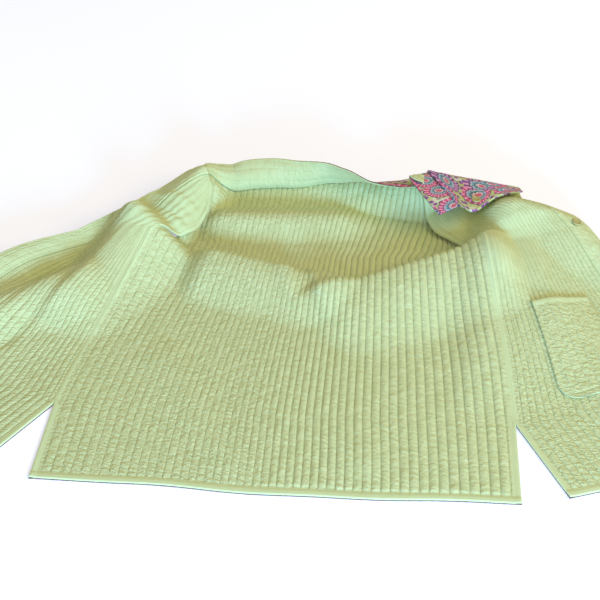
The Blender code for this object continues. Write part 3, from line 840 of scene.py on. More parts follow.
def shaded_seam_line(nodes, uv):
    """Where shade is painted along the channels: 1 on their lines of stitching, falling to 0 within a tenth
    of a channel.
    """
    channel, _ = channel_place(nodes, uv)
    off = nodes.math("ABSOLUTE", nodes.math("SUBTRACT", channel, nodes.math("ROUND", channel)))
    return nodes.math("SUBTRACT", 1.0, nodes.between(off, 0.01, 0.10))


def pucker_height(nodes, uv):
    """Millimetres of pucker between the stitch lines, and of the groove along them.

    The puckers are noise laid across each channel and cut off at its stitch lines, by the pebble mark.
    The groove is deepest on a stitch line and gone a seventh of a channel from it."""
    channel, run = channel_place(nodes, uv)
    number = nodes.math("FLOOR", channel)
    u = nodes.math("SUBTRACT", channel, number)

    def laid(pitch, stretch, slant, offset):
        """Noise of that pitch along the run, slanted across each channel and its own in each."""
        onward = nodes.math("MULTIPLY_ADD", u, slant, nodes.math("DIVIDE", run, pitch))
        own = nodes.math("MULTIPLY_ADD", number, 7.31, offset)
        place_on = nodes.add("CombineXYZ", X=nodes.math("MULTIPLY", u, stretch), Y=onward, Z=own)
        noise = nodes.add("TexNoise", Vector=place_on.outputs[0], Scale=1.0, Detail=2.0, Roughness=0.6)
        return noise.outputs["Fac"]

    pebble = nodes.mark("pebble")
    coarse = nodes.between(laid(0.0050, 1.3, 0.8, 0.0), 0.32, 0.68)
    fine = laid(0.0026, 2.4, -0.9, 40.0)
    wrinkles = nodes.math("ADD", nodes.math("MULTIPLY_ADD", fine, 0.7, -0.85), coarse)
    puckers = nodes.math("MULTIPLY", wrinkles, nodes.math("MULTIPLY", pebble, 1.25))
    from_line = nodes.math("MINIMUM", u, nodes.math("SUBTRACT", 1.0, u))
    depth = nodes.math("MULTIPLY", nodes.math("MULTIPLY_ADD", pebble, -0.55, 0.84), nodes.mark("spread"))
    groove = nodes.math("MULTIPLY", nodes.between(from_line, 0.0, 0.14), depth)
    beside = nodes.between(from_line, -0.03, 0.10)
    quilted = nodes.math("ADD", nodes.math("MULTIPLY", puckers, beside), groove)
    return nodes.math("MULTIPLY", quilted, nodes.math("SUBTRACT", 1.0, nodes.mark("trim")))


def plain_cotton():
    """Lime cotton, faintly mottled, with a painted highlight on turned edges and painted shade along the
    lines of stitching.
    """
    nodes = Nodes("plain cotton")
    uv = nodes.cut()
    mottle = nodes.between(nodes.noise(uv, 55.0, 3.0), 0.3, 0.7)
    ground = nodes.mix(mottle, colour(193, 206, 156), colour(200, 213, 165))
    # Painted shade: the cloth darkens to olive along the lines of stitching, less where it is pebbled.
    pulled = nodes.math("MULTIPLY_ADD", nodes.mark("pebble"), -0.34, 0.60)
    line = nodes.math("MULTIPLY", nodes.math("MULTIPLY", shaded_seam_line(nodes, uv), pulled), nodes.mark("stitch"))
    ground = nodes.mix(line, ground, colour(128, 136, 82))
    # Painted highlight: turned edges are paled towards mint.
    ground = nodes.mix(nodes.math("MULTIPLY", nodes.mark("trim"), 0.5), ground, colour(205, 224, 178))
    weave = nodes.math("MULTIPLY", cotton_weave(nodes, uv), 0.2)
    nodes.bump(nodes.math("ADD", weave, pucker_height(nodes, uv)), 1.0, 0.001)
    return nodes.finish(
        ground, Roughness=0.92, Specular_IOR_Level=0.2, Sheen_Weight=0.08, Sheen_Roughness=0.6
    )


def shaded_print_edge():
    """The printed face where it just peeps out round an edge, in painted shade: dark, flecked with the
    print's colours.
    """
    nodes = Nodes("shaded print edge")
    uv = nodes.cut()
    mottle = nodes.between(nodes.noise(uv, 260.0, 1.0), 0.4, 0.6)
    # Painted shade: the edge's ground is deep brown, where the print's own ground is lime.
    dark = nodes.mix(mottle, colour(76, 62, 60), colour(112, 98, 68))
    flecks = nodes.between(nodes.noise(uv, 140.0, 1.0), 0.60, 0.66)
    return nodes.finish(nodes.mix(flecks, dark, colour(120, 52, 74)), Roughness=0.95)


def disc_rings(nodes, ring):
    """Colour of a disc from its middle out, in rings with hard borders, to the ground between discs."""
    bands = nodes.add("ValToRGB", Fac=ring)
    ramp = bands.color_ramp
    ramp.interpolation = "CONSTANT"
    while len(ramp.elements) < len(DISC_BANDS):
        ramp.elements.new(0.5)
    for element, (position, shade) in zip(ramp.elements, DISC_BANDS):
        element.position = position
        element.color = colour(*shade)
    return bands.outputs["Color"]


def printed_cotton():
    """Cotton printed with ringed, scalloped discs and small florets on a lime ground.

    The discs are cells of a wavering lattice. With r the way from a cell's middle and a the angle round
    it, the rings lie at r + 0.22 (x + y) - s |sin 7a|, and the spokes where sin 17a is high."""
    nodes = Nodes("printed cotton")
    uv = nodes.cut()
    wobble = nodes.add("TexNoise", Vector=uv, Scale=40.0, Detail=1.0).outputs["Color"]
    shift = nodes.add("VectorMath", {"operation": "SCALE"}, Vector=wobble, Scale=0.012).outputs[0]
    moved = nodes.vectors("ADD", uv, shift)
    flat = {"voronoi_dimensions": "2D"}
    cells = nodes.add("TexVoronoi", flat, Vector=moved, Scale=DISCS_A_METRE, Randomness=0.75)
    local = nodes.vectors("SUBTRACT", moved, cells.outputs["Position"])
    parts = nodes.add("SeparateXYZ", Vector=local)
    x, y = parts.outputs["X"], parts.outputs["Y"]
    squares = [nodes.math("MULTIPLY", side, side) for side in (x, y)]
    from_middle = nodes.math("SQRT", nodes.math("ADD", *squares))
    angle = nodes.math("ARCTAN2", y, x)
    drop = nodes.math("ADD", from_middle, nodes.math("MULTIPLY", nodes.math("ADD", x, y), 0.22))
    scallop = nodes.math("ABSOLUTE", nodes.math("SINE", nodes.math("MULTIPLY", angle, 7.0)))
    reach = nodes.math("SUBTRACT", drop, nodes.math("MULTIPLY", scallop, SCALLOP_DEPTH))
    ring = nodes.math("MULTIPLY", reach, DISC_REACHES_A_METRE)
    first, last = SPOKED_RING
    spoked = nodes.math(
        "MULTIPLY", nodes.math("GREATER_THAN", ring, first), nodes.math("LESS_THAN", ring, last)
    )
    spokes = nodes.math("GREATER_THAN", nodes.math("SINE", nodes.math("MULTIPLY", angle, 17.0)), 0.35)
    which = nodes.add("SeparateXYZ", Vector=cells.outputs["Color"]).outputs["X"]
    violet = nodes.math("MULTIPLY", spoked, nodes.math("GREATER_THAN", which, 0.66))
    shade = nodes.mix(violet, disc_rings(nodes, ring), colour(112, 58, 140))
    shade = nodes.mix(nodes.math("MULTIPLY", spoked, spokes), shade, colour(224, 150, 190))
    on_ground = nodes.math("GREATER_THAN", ring, GROUND_FROM)
    faded = nodes.math("MULTIPLY", on_ground, nodes.between(nodes.noise(uv, 34.0, 1.0), 0.52, 0.60))
    shade = nodes.mix(faded, shade, colour(204, 210, 186))
    florets = nodes.add("TexVoronoi", flat, Vector=uv, Scale=FLORETS_A_METRE, Randomness=0.9)
    for radius, paint in ((0.36, colour(158, 78, 158)), (0.18, colour(44, 46, 96))):
        within = nodes.math("LESS_THAN", florets.outputs["Distance"], radius)
        shade = nodes.mix(nodes.math("MULTIPLY", on_ground, within), shade, paint)
    worn = nodes.math("MULTIPLY", nodes.noise(uv, 300.0, 2.0), 0.22)
    nodes.bump(cotton_weave(nodes, uv), 0.35, 0.0006)
    shade = nodes.mix(worn, shade, colour(225, 220, 210))
    return nodes.finish(shade, Roughness=0.9, Specular_IOR_Level=0.2)


def sewing_thread():
    """Lime thread, mottled by its twist."""
    nodes = Nodes("sewing thread")
    twist = nodes.between(nodes.noise(nodes.solid_place(), 900.0, 1.0), 0.3, 0.7)
    return nodes.finish(nodes.mix(twist, colour(186, 196, 130), colour(208, 218, 160)), Roughness=0.6)


def turned_horn():
    """Olive tan horn, streaked one way."""
    nodes = Nodes("turned horn")
    stretched = nodes.add("Mapping", Vector=nodes.solid_place(), Scale=(1.0, 5.0, 1.0)).outputs[0]
    streak = nodes.between(nodes.noise(stretched, 260.0, 3.0), 0.25, 0.75)
    return nodes.finish(nodes.mix(streak, colour(150, 142, 84), colour(184, 178, 120)), Roughness=0.42)


def panel(name, surface, width, channels, count, seed, seam_sides, texture, cloths, threads, flip=False):
    """A quilted panel on its surface, with its channel, hem and edge stitches."""
    rows, runs = row_runs(surface)
    shares = channel_columns(channels, float(width(np.array(VENT_TOP))))
    row, _ = fine_rows(surface, count)

    def spread(share, row):
        """How far the channels keep their full width, from 0 where they are squeezed together."""
        step = 0.5 / channels
        across = surface(np.clip(share + step, 0, 1), row) - surface(np.clip(share - step, 0, 1), row)
        return np.clip(np.linalg.norm(across, axis=-1) / FULL_SPREAD, 0.02, 1.0)

    def raised(share, row, run_at, wide):
        """Relief and marks: the channels are as full as they are spread, with long gathers elsewhere."""
        near = spread(share, row)
        fill = texture(share, row)[0]
        relief, stitch, trim = panel_relief(share, row, run_at, wide, channels, seed, seam_sides, near * fill)
        drawn = 1 - smooth_step((near - 0.15) / 0.45)
        wave = GATHERS * share + GATHER_SWAY * grain(run_at / PATCH_LENGTH, share * 3, seed + 7)
        gathers = GATHER_RISE * np.sin(2 * np.pi * wave) * np.clip(wide / GATHER_WIDTH, 0, 1)
        shown = near * np.clip(fill / 0.5, 0, 1)
        return relief + gathers * drawn, stitch * shown, trim * (1 - 0.75 * drawn), shown

    def over(share, run_at):
        """Points on the panel's upper face."""
        row_at = np.interp(run_at, runs, rows)
        relief = raised(share, row_at, run_at, width(row_at))[0]
        return surface(share, row_at) + outward(surface, share, row_at) * relief[..., None]

    share_grid, row_grid = np.meshgrid(shares, row)
    run_grid = np.interp(row_grid, rows, runs)
    relief, stitch, trim, shown = raised(share_grid, row_grid, run_grid, width(row_grid))
    points = surface(share_grid, row_grid) + outward(surface, share_grid, row_grid) * relief[..., None]
    uv = np.stack([share_grid * channels * CHANNEL_WIDTH, run_grid], -1)
    pebble = texture(share_grid, row_grid)[1] * (1 - 0.8 * trim) * shown**1.5
    # Marks for the colour: painted shade along the stitching, a painted highlight on the turned edges.
    upper = Cloth(points, uv, stitch, trim, pebble, shown)
    low_share, low_row = np.meshgrid(shares[::UNDER_COLUMNS], row[::UNDER_ROWS])
    lower = plain_cloth(surface(low_share, low_row), uv[::UNDER_ROWS, ::UNDER_COLUMNS])
    vent_rim = np.where(row[:-1:UNDER_ROWS] < VENT_TOP, 2, 0)
    rims = (2, 0, *(vent_rim if seam else 0 for seam in seam_sides))
    piece = shell(name, upper, lower, cloths, flip, rims)

    seams = np.arange(1, channels) / channels
    places = np.arange(HEM_WIDTH + 0.006, runs[-1] - 0.004, STITCH_PITCH)
    share, at = (grid.ravel() for grid in np.meshgrid(seams, places))
    sewn = [thread_along(over, share, at + 0.0013 * (share * channels % 3))]
    hem_width = float(width(np.array(0.05)))
    across = np.arange(0.006, hem_width - 0.006, STITCH_PITCH) / hem_width
    sewn.append(thread_across(over, across, np.full(across.shape, HEM_WIDTH), hem_width))
    for edge, seam in zip((0, 1), seam_sides):
        if seam:
            wide = width(np.interp(places, runs, rows))
            turn = np.where(places < VENT_LENGTH, VENT_TURN, SEAM_STRIP) / wide
            sewn.append(thread_along(over, np.abs(edge - turn), places))
    return piece, stitches(f"{name}_stitching", *joined(sewn), threads)


def drawn_in(surface, width, first_gap, last_gap):
    """The surface drawn in by a gap at its first and last share."""

    def inner(share, row):
        """Points at a share of what is left between the gaps."""
        span = width(row)
        return surface((first_gap + share * (span - first_gap - last_gap)) / span, row)

    return inner


def make_back(cloths, threads):
    """The back, between the two side seams."""
    surface = drawn_in(back_surface, back_width, SEAM_LINE / 2, SEAM_LINE / 2)
    piece, thread = panel(
        "back_cloth",
        surface,
        back_width,
        BACK_CHANNELS,
        BACK_GRID_ROWS,
        1,
        (True, True),
        back_texture,
        cloths,
        threads,
    )
    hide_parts("back")


def make_front(side, seed, cloths, threads):
    """A front from its side seam to its band, and the band. Gives what make_band does."""

    def whole(share, row):
        """Underside of this front, with its band."""
        return front_surface(side, share, row)

    def width(row):
        """Width of this front, with its band."""
        return front_width(side, row)

    def cut_width(row):
        """Width of this front without its band."""
        return width(row) - BAND_WIDTH

    surface = drawn_in(whole, width, SEAM_LINE / 2, BAND_WIDTH + SEAM_LINE / 2)
    piece, thread = panel(
        f"front_{side}_cloth",
        surface,
        cut_width,
        FRONT_CHANNELS,
        FRONT_GRID_ROWS,
        seed,
        (True, False),
        front_texture,
        cloths,
        threads,
        flip=side == "right",
    )
    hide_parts(f"front_{side}")
    return make_band(side, seed, whole, width, cloths, threads)


def make_band(side, seed, whole, width, cloths, threads):
    """The band down a front's edge: plain, crumpled and stitched along both sides.

    Gives the function for points on its upper face, and its rows with their runs."""

    def band(share, row):
        """Underside of the band: the front's own, in from its edge by the band's width."""
        return whole(1 - (BAND_WIDTH - SEAM_LINE) * (1 - share) / width(row), row)

    rows, runs = row_runs(band)

    def from_edge(share):
        """How far a share of the band lies from its nearer side."""
        return np.minimum(share, 1 - share) * BAND_WIDTH

    def relief(share, run):
        """The band's wall, crumpled, pressed along its stitching and rounded at its border."""
        edge = from_edge(share)
        crumple = 0.00035 * grain(run / 0.007, share * 3.0, seed + 5)
        crumple = crumple + 0.0002 * grain(run / 0.003, share * 5, seed)
        body = BAND_WALL + crumple * smooth_step(edge / 0.003)
        return body - pressed_line(edge, BAND_STITCH, 0.0006) - rounded_border(np.minimum(edge, run))

    def over(share, run):
        """Points on the band's upper face."""
        row = np.interp(run, runs, rows)
        return band(share, row) + outward(band, share, row) * relief(share, run)[..., None]

    shares = np.unique(np.concatenate([np.linspace(0, 1, 25), [0.012, 0.03, 0.97, 0.988]]))
    row, run = fine_rows(band, FRONT_GRID_ROWS)
    share_grid, run_grid = np.meshgrid(shares, run)
    uv = np.stack([share_grid * BAND_WIDTH, run_grid], -1)
    # Painted shade along both lines of stitching, and a faint painted highlight over the whole band.
    stitch = pressed_line(from_edge(share_grid), BAND_STITCH, 0.6)
    none = 0 * stitch
    upper = Cloth(over(share_grid, run_grid), uv, stitch, none + 0.25, none + 0.5, none + 1)
    low_share, low_row = np.meshgrid(shares[::4], row[::UNDER_ROWS])
    lower = plain_cloth(band(low_share, low_row), uv[::UNDER_ROWS, ::4])
    strip = shell(f"front_band_{side}_cloth", upper, lower, cloths, side == "right", (2, 0, 0, 2))
    places = np.arange(0.004, runs[-1] - 0.003, STITCH_PITCH)
    line = BAND_STITCH / BAND_WIDTH
    sewn = [thread_along(over, np.full(places.shape, at), places) for at in (line, 1 - line)]
    thread = stitches(f"front_band_{side}_stitching", *joined(sewn), threads)
    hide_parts(f"front_band_{side}")
    return over, (rows, runs)


def make_pocket(cloths, threads):
    """Patch pocket: the left front's own points moved out, its lower corners rounded."""
    first, last = POCKET_SIDES
    middle, half = (first + last) / 2, (last - first) / 2
    bottom_row, top_row = POCKET_ROWS
    seat = CLOTH_WALL + CHANNEL_RISE + SEAM_GAP

    def whole(share, row):
        """Underside of the left front."""
        return front_surface("left", share, row)

    def on_front(share, drop):
        """Share and row of the front at a share of the pocket's width and of the drop from its top."""
        row = top_row + (bottom_row - top_row) * drop
        into_corner = np.clip(POCKET_CORNER - (1 - drop) * POCKET_LENGTH, 0, None)
        cut = POCKET_CORNER - np.sqrt(np.clip(POCKET_CORNER**2 - into_corner**2, 0, None))
        return middle + (2 * share - 1) * (half - cut / front_width("left", row)), row

    def from_sides(share, drop):
        """How far a point of the pocket lies from its nearer side, or from its bottom."""
        return np.minimum(np.minimum(share, 1 - share) * POCKET_WIDTH, (1 - drop) * POCKET_LENGTH)

    def relief(share, drop):
        """The pocket's wall, its turned top, its stitched border and cross puckers."""
        edge, from_top = from_sides(share, drop), drop * POCKET_LENGTH
        pads, _ = channel_pads(share, (1 - drop) * POCKET_LENGTH, POCKET_CHANNELS, 31)
        inside = smooth_step((edge - 0.009) / 0.003) * smooth_step((from_top - 0.010) / 0.003)
        pressed = pressed_line(edge, POCKET_STITCH, 0.0006, 0.0011)
        body = POCKET_WALL + turned_edge(from_top, POCKET_HEM) - pressed + 0.35 * pads * inside
        return body - rounded_border(np.minimum(edge, from_top), TRIM_BORDER_RADIUS)

    def lifted(share, drop, height):
        """Points at a height above the seat on the front's quilting."""
        place_on = on_front(share, drop)
        return whole(*place_on) + outward(whole, *place_on) * (seat + height)[..., None]

    def over(share, run):
        """Points on the pocket's upper face, at a run up from its bottom."""
        drop = np.clip(1 - run / POCKET_LENGTH, 0, 1)
        return lifted(share, drop, relief(share, drop))

    shares = np.unique(np.concatenate([np.linspace(0, 1, 67), [0.004, 0.009, 0.012, 0.988, 0.991, 0.996]]))
    drops = np.cos(np.linspace(0, 1, 91) * np.pi / 2)
    share_grid, drop_grid = np.meshgrid(shares, drops)
    points = lifted(share_grid, drop_grid, relief(share_grid, drop_grid))
    uv = np.stack([share_grid * POCKET_CHANNELS * CHANNEL_WIDTH, (1 - drop_grid) * POCKET_LENGTH], -1)
    # A painted highlight on the turned top, and painted shade along the stitched border.
    trim = 0.45 * (1 - smooth_step((drop_grid * POCKET_LENGTH - 0.008) / 0.002))
    stitch = pressed_line(from_sides(share_grid, drop_grid), POCKET_STITCH, 0.7, 0.0012)
    upper = Cloth(points, uv, stitch, trim, 0.9 - trim, 1 + 0 * trim)
    under = lifted(share_grid, drop_grid, 0 * drop_grid)[::UNDER_ROWS, ::UNDER_COLUMNS]
    lower = plain_cloth(under, uv[::UNDER_ROWS, ::UNDER_COLUMNS])
    patch = shell("pocket_cloth", upper, lower, [cloths[0]] * 2)
    runs = np.arange(0.034, POCKET_LENGTH - 0.001, STITCH_PITCH)
    line = POCKET_STITCH / POCKET_WIDTH
    sewn = [thread_along(over, np.full(runs.shape, at), runs) for at in (line, 1 - line)]
    top_line = (0.02, 0.98, POCKET_LENGTH - POCKET_HEM, POCKET_WIDTH)
    low_line = (0.18, 0.82, POCKET_STITCH, POCKET_LOW_WIDTH)
    for start, end, run, width in (top_line, low_line):
        across = np.arange(start, end, STITCH_PITCH / width)
        sewn.append(thread_across(over, across, np.full(across.shape, run), width))
    thread = stitches("pocket_stitching", *joined(sewn), threads)
    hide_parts("pocket")


def collar_seat(x, y, lean):
    """Height of the collar's neck seam above the underside of the back, so that its wall clears it."""
    step = 1e-4
    slope_x = (lay_height(x + step, y) - lay_height(x - step, y)) / (2 * step)
    slope_y = (lay_height(x, y + step) - lay_height(x, y - step)) / (2 * step)
    under = np.clip(-np.cos(np.radians(lean)), 0, None) * (CLOTH_WALL + CHANNEL_RISE)
    return (CLOTH_WALL + SEAM_GAP) * np.sqrt(1 + slope_x**2 + slope_y**2) + SEAM_GAP + under


def neck_point(share):
    """A point of the back's neck edge, at a plain share of it."""
    right, left = back_edges(np.array(NECK_ROW))
    x, y = right + (left - right) * share
    y += NECK_RISE * (1 - (2 * share - 1) ** 2)
    return x, y, lay_height(x, y)


def collar_section(along):
    """Rows of x, y, z, lean, roll and width along the neck seam, by curve through the sections."""
    on_back = []
    for section in COLLAR_ON_BACK:
        x, y, z = neck_point(section.neck_share)
        z += collar_seat(x, y, section.lean)
        on_back.append((x, y, z, section.lean, section.roll, section.width))
    table = np.array(on_back + [section[1:] for section in COLLAR_ON_FRONT])
    found = curve_at(table, along)
    x, y, z, lean = (found[..., k] for k in range(4))
    leaving = smooth_step(along * (len(table) - 1) - len(on_back) + 2)
    seated = lay_height(x, y) + collar_seat(x, y, lean)
    found[..., 2] = seated + (z - seated) * leaving
    found[..., 1] = y - COLLAR_LAP * (1 - leaving)
    return found


def collar_surface(across, along):
    """Under face of the collar: from each neck point, its width at its lean, bulged by its roll and lip.

    The right end is rounded off, and the lip curls the top over from there to the back."""
    section = collar_section(along)
    width = section[..., 5] * (1 - 0.35 * np.clip(1 - along / 0.05, 0, 1) ** 2)
    step = 1e-3
    heading = unit(collar_section(along + step)[..., :2] - collar_section(along - step)[..., :2])
    back = np.stack([-heading[..., 1], heading[..., 0], 0 * across], -1)
    upright = np.array([0.0, 0.0, 1.0])
    lean = np.radians(section[..., 3])[..., None]
    reach = back * np.cos(lean) + upright * np.sin(lean)
    bulge = upright * np.cos(lean) - back * np.sin(lean)
    curled = smooth_step((along - 0.03) / 0.08) * (1 - smooth_step((along - 0.26) / 0.14))
    lip = COLLAR_LIP * curled * np.sin(np.pi * np.clip(across, 0, 1) ** 0.5)
    rolled = section[..., 4] * np.sin(np.pi * across) + lip
    return section[..., :3] + reach * (width * across)[..., None] + bulge * rolled[..., None]


def collar_raised(across, along, height, step=1e-3):
    """Points at a height above the collar's under face, along its normals."""
    over = collar_surface(across + step, along) - collar_surface(across - step, along)
    on = collar_surface(across, along + step) - collar_surface(across, along - step)
    return collar_surface(across, along) + unit(np.cross(on, over)) * height[..., None]


def make_collar(cloths, threads):
    """Stand collar: its plain face towards the wearer, its printed face turned up where it is folded."""

    def relief(across, along):
        """The collar's wall with soft pads and creases, and where shade is painted along its stitching."""
        pads, stitch = channel_pads(across, along * COLLAR_LENGTH, COLLAR_CHANNELS, 41)
        from_sides = np.minimum(across, 1 - across) * COLLAR_WIDTH
        edge = np.minimum(from_sides, np.minimum(along, 1 - along) * COLLAR_LENGTH)
        crease = 0.0011 * grain(across * 2.3 + along * 5, along * 11, 44)
        crease = crease + 0.0005 * grain(across * 4, along * 37, 45)
        body = CLOTH_WALL + (0.22 * pads + crease) * smooth_step((edge - 0.002) / 0.006)
        return body - pressed_line(edge, 0.004, 0.0004) - rounded_border(edge, TRIM_BORDER_RADIUS), stitch

    def over(across, run):
        """Points on the collar's upper face."""
        along = run / COLLAR_LENGTH
        return collar_raised(across, along, relief(across, along)[0])

    across = np.unique(np.concatenate([np.linspace(0, 1, 23), [0.01, 0.03, 0.97, 0.99]]))
    # 25 of these columns are kept, so that the under face can have every third
    across = across[np.linspace(0, len(across) - 1, 25).astype(int)]
    along = np.linspace(0, 1, 221)
    across_grid, along_grid = np.meshgrid(across, along)
    height, stitch = relief(across_grid, along_grid)
    points = collar_raised(across_grid, along_grid, height)
    uv = np.stack([across_grid * COLLAR_CHANNELS * CHANNEL_WIDTH, along_grid * COLLAR_LENGTH], -1)
    none = 0 * stitch
    # Faint painted shade along the collar's lines of stitching.
    upper = Cloth(points, uv, 0.3 * stitch, none, none + 0.45, none + 0.4)
    low_across, low_along = np.meshgrid(across[::3], along[::2])
    crumple = 0.0003 * grain(low_along * COLLAR_LENGTH / 0.008, low_across * 3, 43)
    crumple *= smooth_step(np.minimum(low_across, 1 - low_across) / 0.1)
    lower = plain_cloth(collar_raised(low_across, low_along, crumple), uv[::2, ::3])
    strip = shell("collar_cloth", upper, lower, cloths, True, (0, 2, 0, 2))
    runs = np.arange(0.006, COLLAR_LENGTH - 0.006, STITCH_PITCH)
    sewn = [thread_along(over, np.full(runs.shape, at), runs) for at in (0.105, 0.895)]
    thread = stitches("collar_stitching", *joined(sewn), threads)
    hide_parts("collar")


def make_turned_corner(cloths, threads):
    """The left front's folded-over corner: a part tucked under, a half-round fold, then a flap, print up."""
    table = np.array([section[1:] for section in CORNER_SECTIONS])

    def flap(run, along, inset):
        """Points inset from the outer face: run goes to -1 in the tuck, 0 round the fold, 1 on the flap."""
        fold_x, fold_y, edge_x, edge_y, edge_z = np.moveaxis(curve_at(table, along), -1, 0)
        reach = np.stack([edge_x - fold_x, edge_y - fold_y], -1)
        heading = unit(reach)
        radius = CORNER_FOLD_RADIUS - inset
        angle = np.pi / 2 + np.pi * np.clip(run, -1, 0)
        tucked = np.clip(-1 - run, 0, 1)
        onward = CORNER_TUCK * tucked - radius * np.cos(angle)
        plan = np.stack([fold_x, fold_y], -1) + heading * onward[..., None]
        plan = plan + reach * np.clip(run, 0, None)[..., None]
        height = edge_z - CORNER_FOLD_RADIUS + radius * np.sin(angle)
        seat = CLOTH_WALL + CHANNEL_RISE + SEAM_GAP + CLOTH_WALL - inset
        drop = np.minimum(lay_height(plan[..., 0], plan[..., 1]) + seat - height, 0)
        return np.concatenate([plan, (height + drop * smooth_step(tucked))[..., None]], -1)

    tuck, fold, rest = np.linspace(-2, -1, 11), np.linspace(-1, 0, 21), np.linspace(0, 1, 41)
    runs = np.concatenate([tuck[:-1], fold[:-1], rest])
    along = np.linspace(-CORNER_LAP, 1, 81)
    along_grid, run_grid = np.meshgrid(along, runs)
    from_ends = np.minimum(along_grid + CORNER_LAP, 1 - along_grid) * CORNER_LENGTH
    edge = np.minimum(from_ends, (1 - run_grid) * CORNER_REACH)
    wrinkle = 0.0005 * grain(run_grid * 9, along_grid * 14, 51)
    wrinkle = wrinkle + 0.0003 * grain(run_grid * 19, along_grid * 31, 52)
    inset = rounded_border(edge, CORNER_BORDER_RADIUS) + pressed_line(edge, 0.004, 0.0004)
    inset = inset - wrinkle * smooth_step(edge / 0.004)
    uv = np.stack([along_grid * CORNER_LENGTH, run_grid * CORNER_CUT], -1)
    none = 0 * edge
    upper = Cloth(flap(run_grid, along_grid, inset), uv, none, none, none, none)
    low = flap(run_grid, along_grid, CLOTH_WALL + none)[::5, ::5]
    lower = plain_cloth(low, uv[::5, ::5])
    sides = [cloths[1], cloths[0]]
    piece = shell("front_corner_left_cloth", upper, lower, sides, flip=True, rims=(0, 0, 0, 0))

    def over(share, run):
        """Points just under the flap's outer face."""
        return flap(run, share, np.full(np.shape(share), 0.0003))

    spots = np.arange(0.03, 0.97, STITCH_PITCH / CORNER_LENGTH)
    sewn = thread_across(over, spots, np.full(spots.shape, 0.90), CORNER_LENGTH)
    thread = stitches("front_corner_left_stitching", *sewn, threads)
    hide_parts("front_corner_left")


def ring_index(rings, count):
    """Numbers of the points on each ring, and of the next point round from each."""
    index = np.arange(rings * count).reshape(rings, count)
    return index, np.roll(index, -1, axis=1)


def make_sleeve(side, cloths):
    """A sleeve folded flat under its front: flattened rings along its middle line, open at the cuff.

    The rings run from the closed armhole to the cuff, and back inside it to a closed end. Each is as high
    as its thickness allows, 1 - s^4 across, but stays under the front that lies on it."""
    table = np.array([section[1:] for section in SLEEVE_SECTIONS[side]])
    out, back = SLEEVE_RINGS
    turn = np.linspace(0, 2 * np.pi, SLEEVE_POINTS + 1)
    along = np.concatenate([[0.0, 0.0], np.linspace(0, 1, out), np.linspace(1, 0.03, back), [0.03, 0.03]])
    shrink = np.concatenate([[0.02, 0.6], np.ones(out), np.full(back, 0.95), [0.5, 0.02]])[:, None]
    inner = np.concatenate([np.zeros(out + 2), [0.6], np.ones(back + 1)])[:, None]
    turn_grid, along_grid = np.meshgrid(turn, along)
    section = curve_at(table, along_grid)
    step = 1e-3
    ahead = unit(curve_at(table, along_grid + step)[..., :2] - curve_at(table, along_grid - step)[..., :2])
    across = np.cos(turn_grid) * shrink
    x = section[..., 0] - ahead[..., 1] * across * section[..., 2]
    y = section[..., 1] + ahead[..., 0] * across * section[..., 2]
    edge = 2 * CLOTH_WALL
    full = edge + (section[..., 3] - edge) * np.clip(1 - across**4, 0, 1)
    asides = (-SLEEVE_STEP[side], 0, SLEEVE_STEP[side])
    room = np.min([lay_height(x + dx, y + dy) for dx in asides for dy in asides], axis=0)
    height = np.clip(np.minimum(full, room - SEAM_GAP), CLOTH_WALL / 2, None)
    level = 0.5 + 0.5 * np.sign(np.sin(turn_grid)) * np.abs(np.sin(turn_grid)) ** 0.5
    channels = np.abs(np.sin(turn_grid * 12)) * 0.0008 + 0.0004 * grain(along_grid * 60, turn_grid * 9, 61)
    top = height * level - np.where(level > 0.5, 0.0012 - channels, 0) * (1 - inner) * shrink
    middle = height / 2
    z = middle + (top - middle) * (1 - 0.45 * inner)
    z = np.where(shrink < 0.3, middle + (z - middle) * 0.1, z)
    points = np.stack([x, y, np.clip(z, 0.0, None)], -1)[:, :-1]
    index, after = ring_index(*points.shape[:2])
    faces = np.stack([index[:-1], after[:-1], after[1:], index[1:]], -1).reshape(-1, 4).tolist()
    faces += [index[0][::-1].tolist(), index[-1].tolist()]
    mesh = mesh_of(f"sleeve_{side}_cloth", points, faces, [cloths[1]])
    set_cut(mesh, np.stack([turn_grid * 0.036, along_grid * 0.36], -1)[:, :-1])
    piece = place(f"sleeve_{side}_cloth", mesh)
    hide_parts(f"sleeve_{side}")


def button_surface(out, turn):
    """A turned button over its seat: a round rim, a dished middle and two sewing holes."""
    radius, height = np.array(BUTTON_PROFILE).T
    steps = np.linspace(0, 1, len(radius))
    r = np.interp(out, steps, radius) * BUTTON_RADIUS
    z = np.interp(out, steps, height) * BUTTON_THICKNESS
    x, y = r * np.cos(turn), r * np.sin(turn)
    for hole_x in (-HOLE_PLACE, HOLE_PLACE):
        away = ((x - hole_x) ** 2 + y**2) / HOLE_RADIUS**2
        z = z - HOLE_DEPTH * np.exp(-(away**2)) * (out < 0.3)
    return np.stack([x, y, z], -1)


def make_button(name, point, normal, horn, threads):
    """A button on its seat, and the thread bar through its two holes."""
    rings = np.concatenate([np.linspace(0.02, 0.3, 13), np.linspace(0.33, 1, 23)])
    turns = np.linspace(0, 2 * np.pi, BUTTON_POINTS, endpoint=False)
    out, turn = np.meshgrid(rings, turns, indexing="ij")
    side = unit(np.cross(normal, (0.2, 1.0, 0.1)))
    axes = np.stack([side, np.cross(normal, side), normal])
    seat = np.asarray(point) + normal * BUTTON_SHANK
    index, after = ring_index(*out.shape)
    faces = np.stack([index[:-1], index[1:], after[1:], after[:-1]], -1).reshape(-1, 4).tolist()
    faces += [index[0].tolist(), index[-1][::-1].tolist()]
    piece = place(f"{name}_turned", mesh_of(name, button_surface(out, turn) @ axes + seat, faces, [horn]))
    half, apart, height = BUTTON_BAR
    rows = np.array([[0, -apart, height], [0, 0, height], [0, apart, height]])
    ends = tuple((rows + (end, 0, 0)) @ axes + seat for end in (-half, half))
    thread = stitches(f"{name}_thread", ends, np.repeat(normal[None], len(rows), 0), threads)
    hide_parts(name)


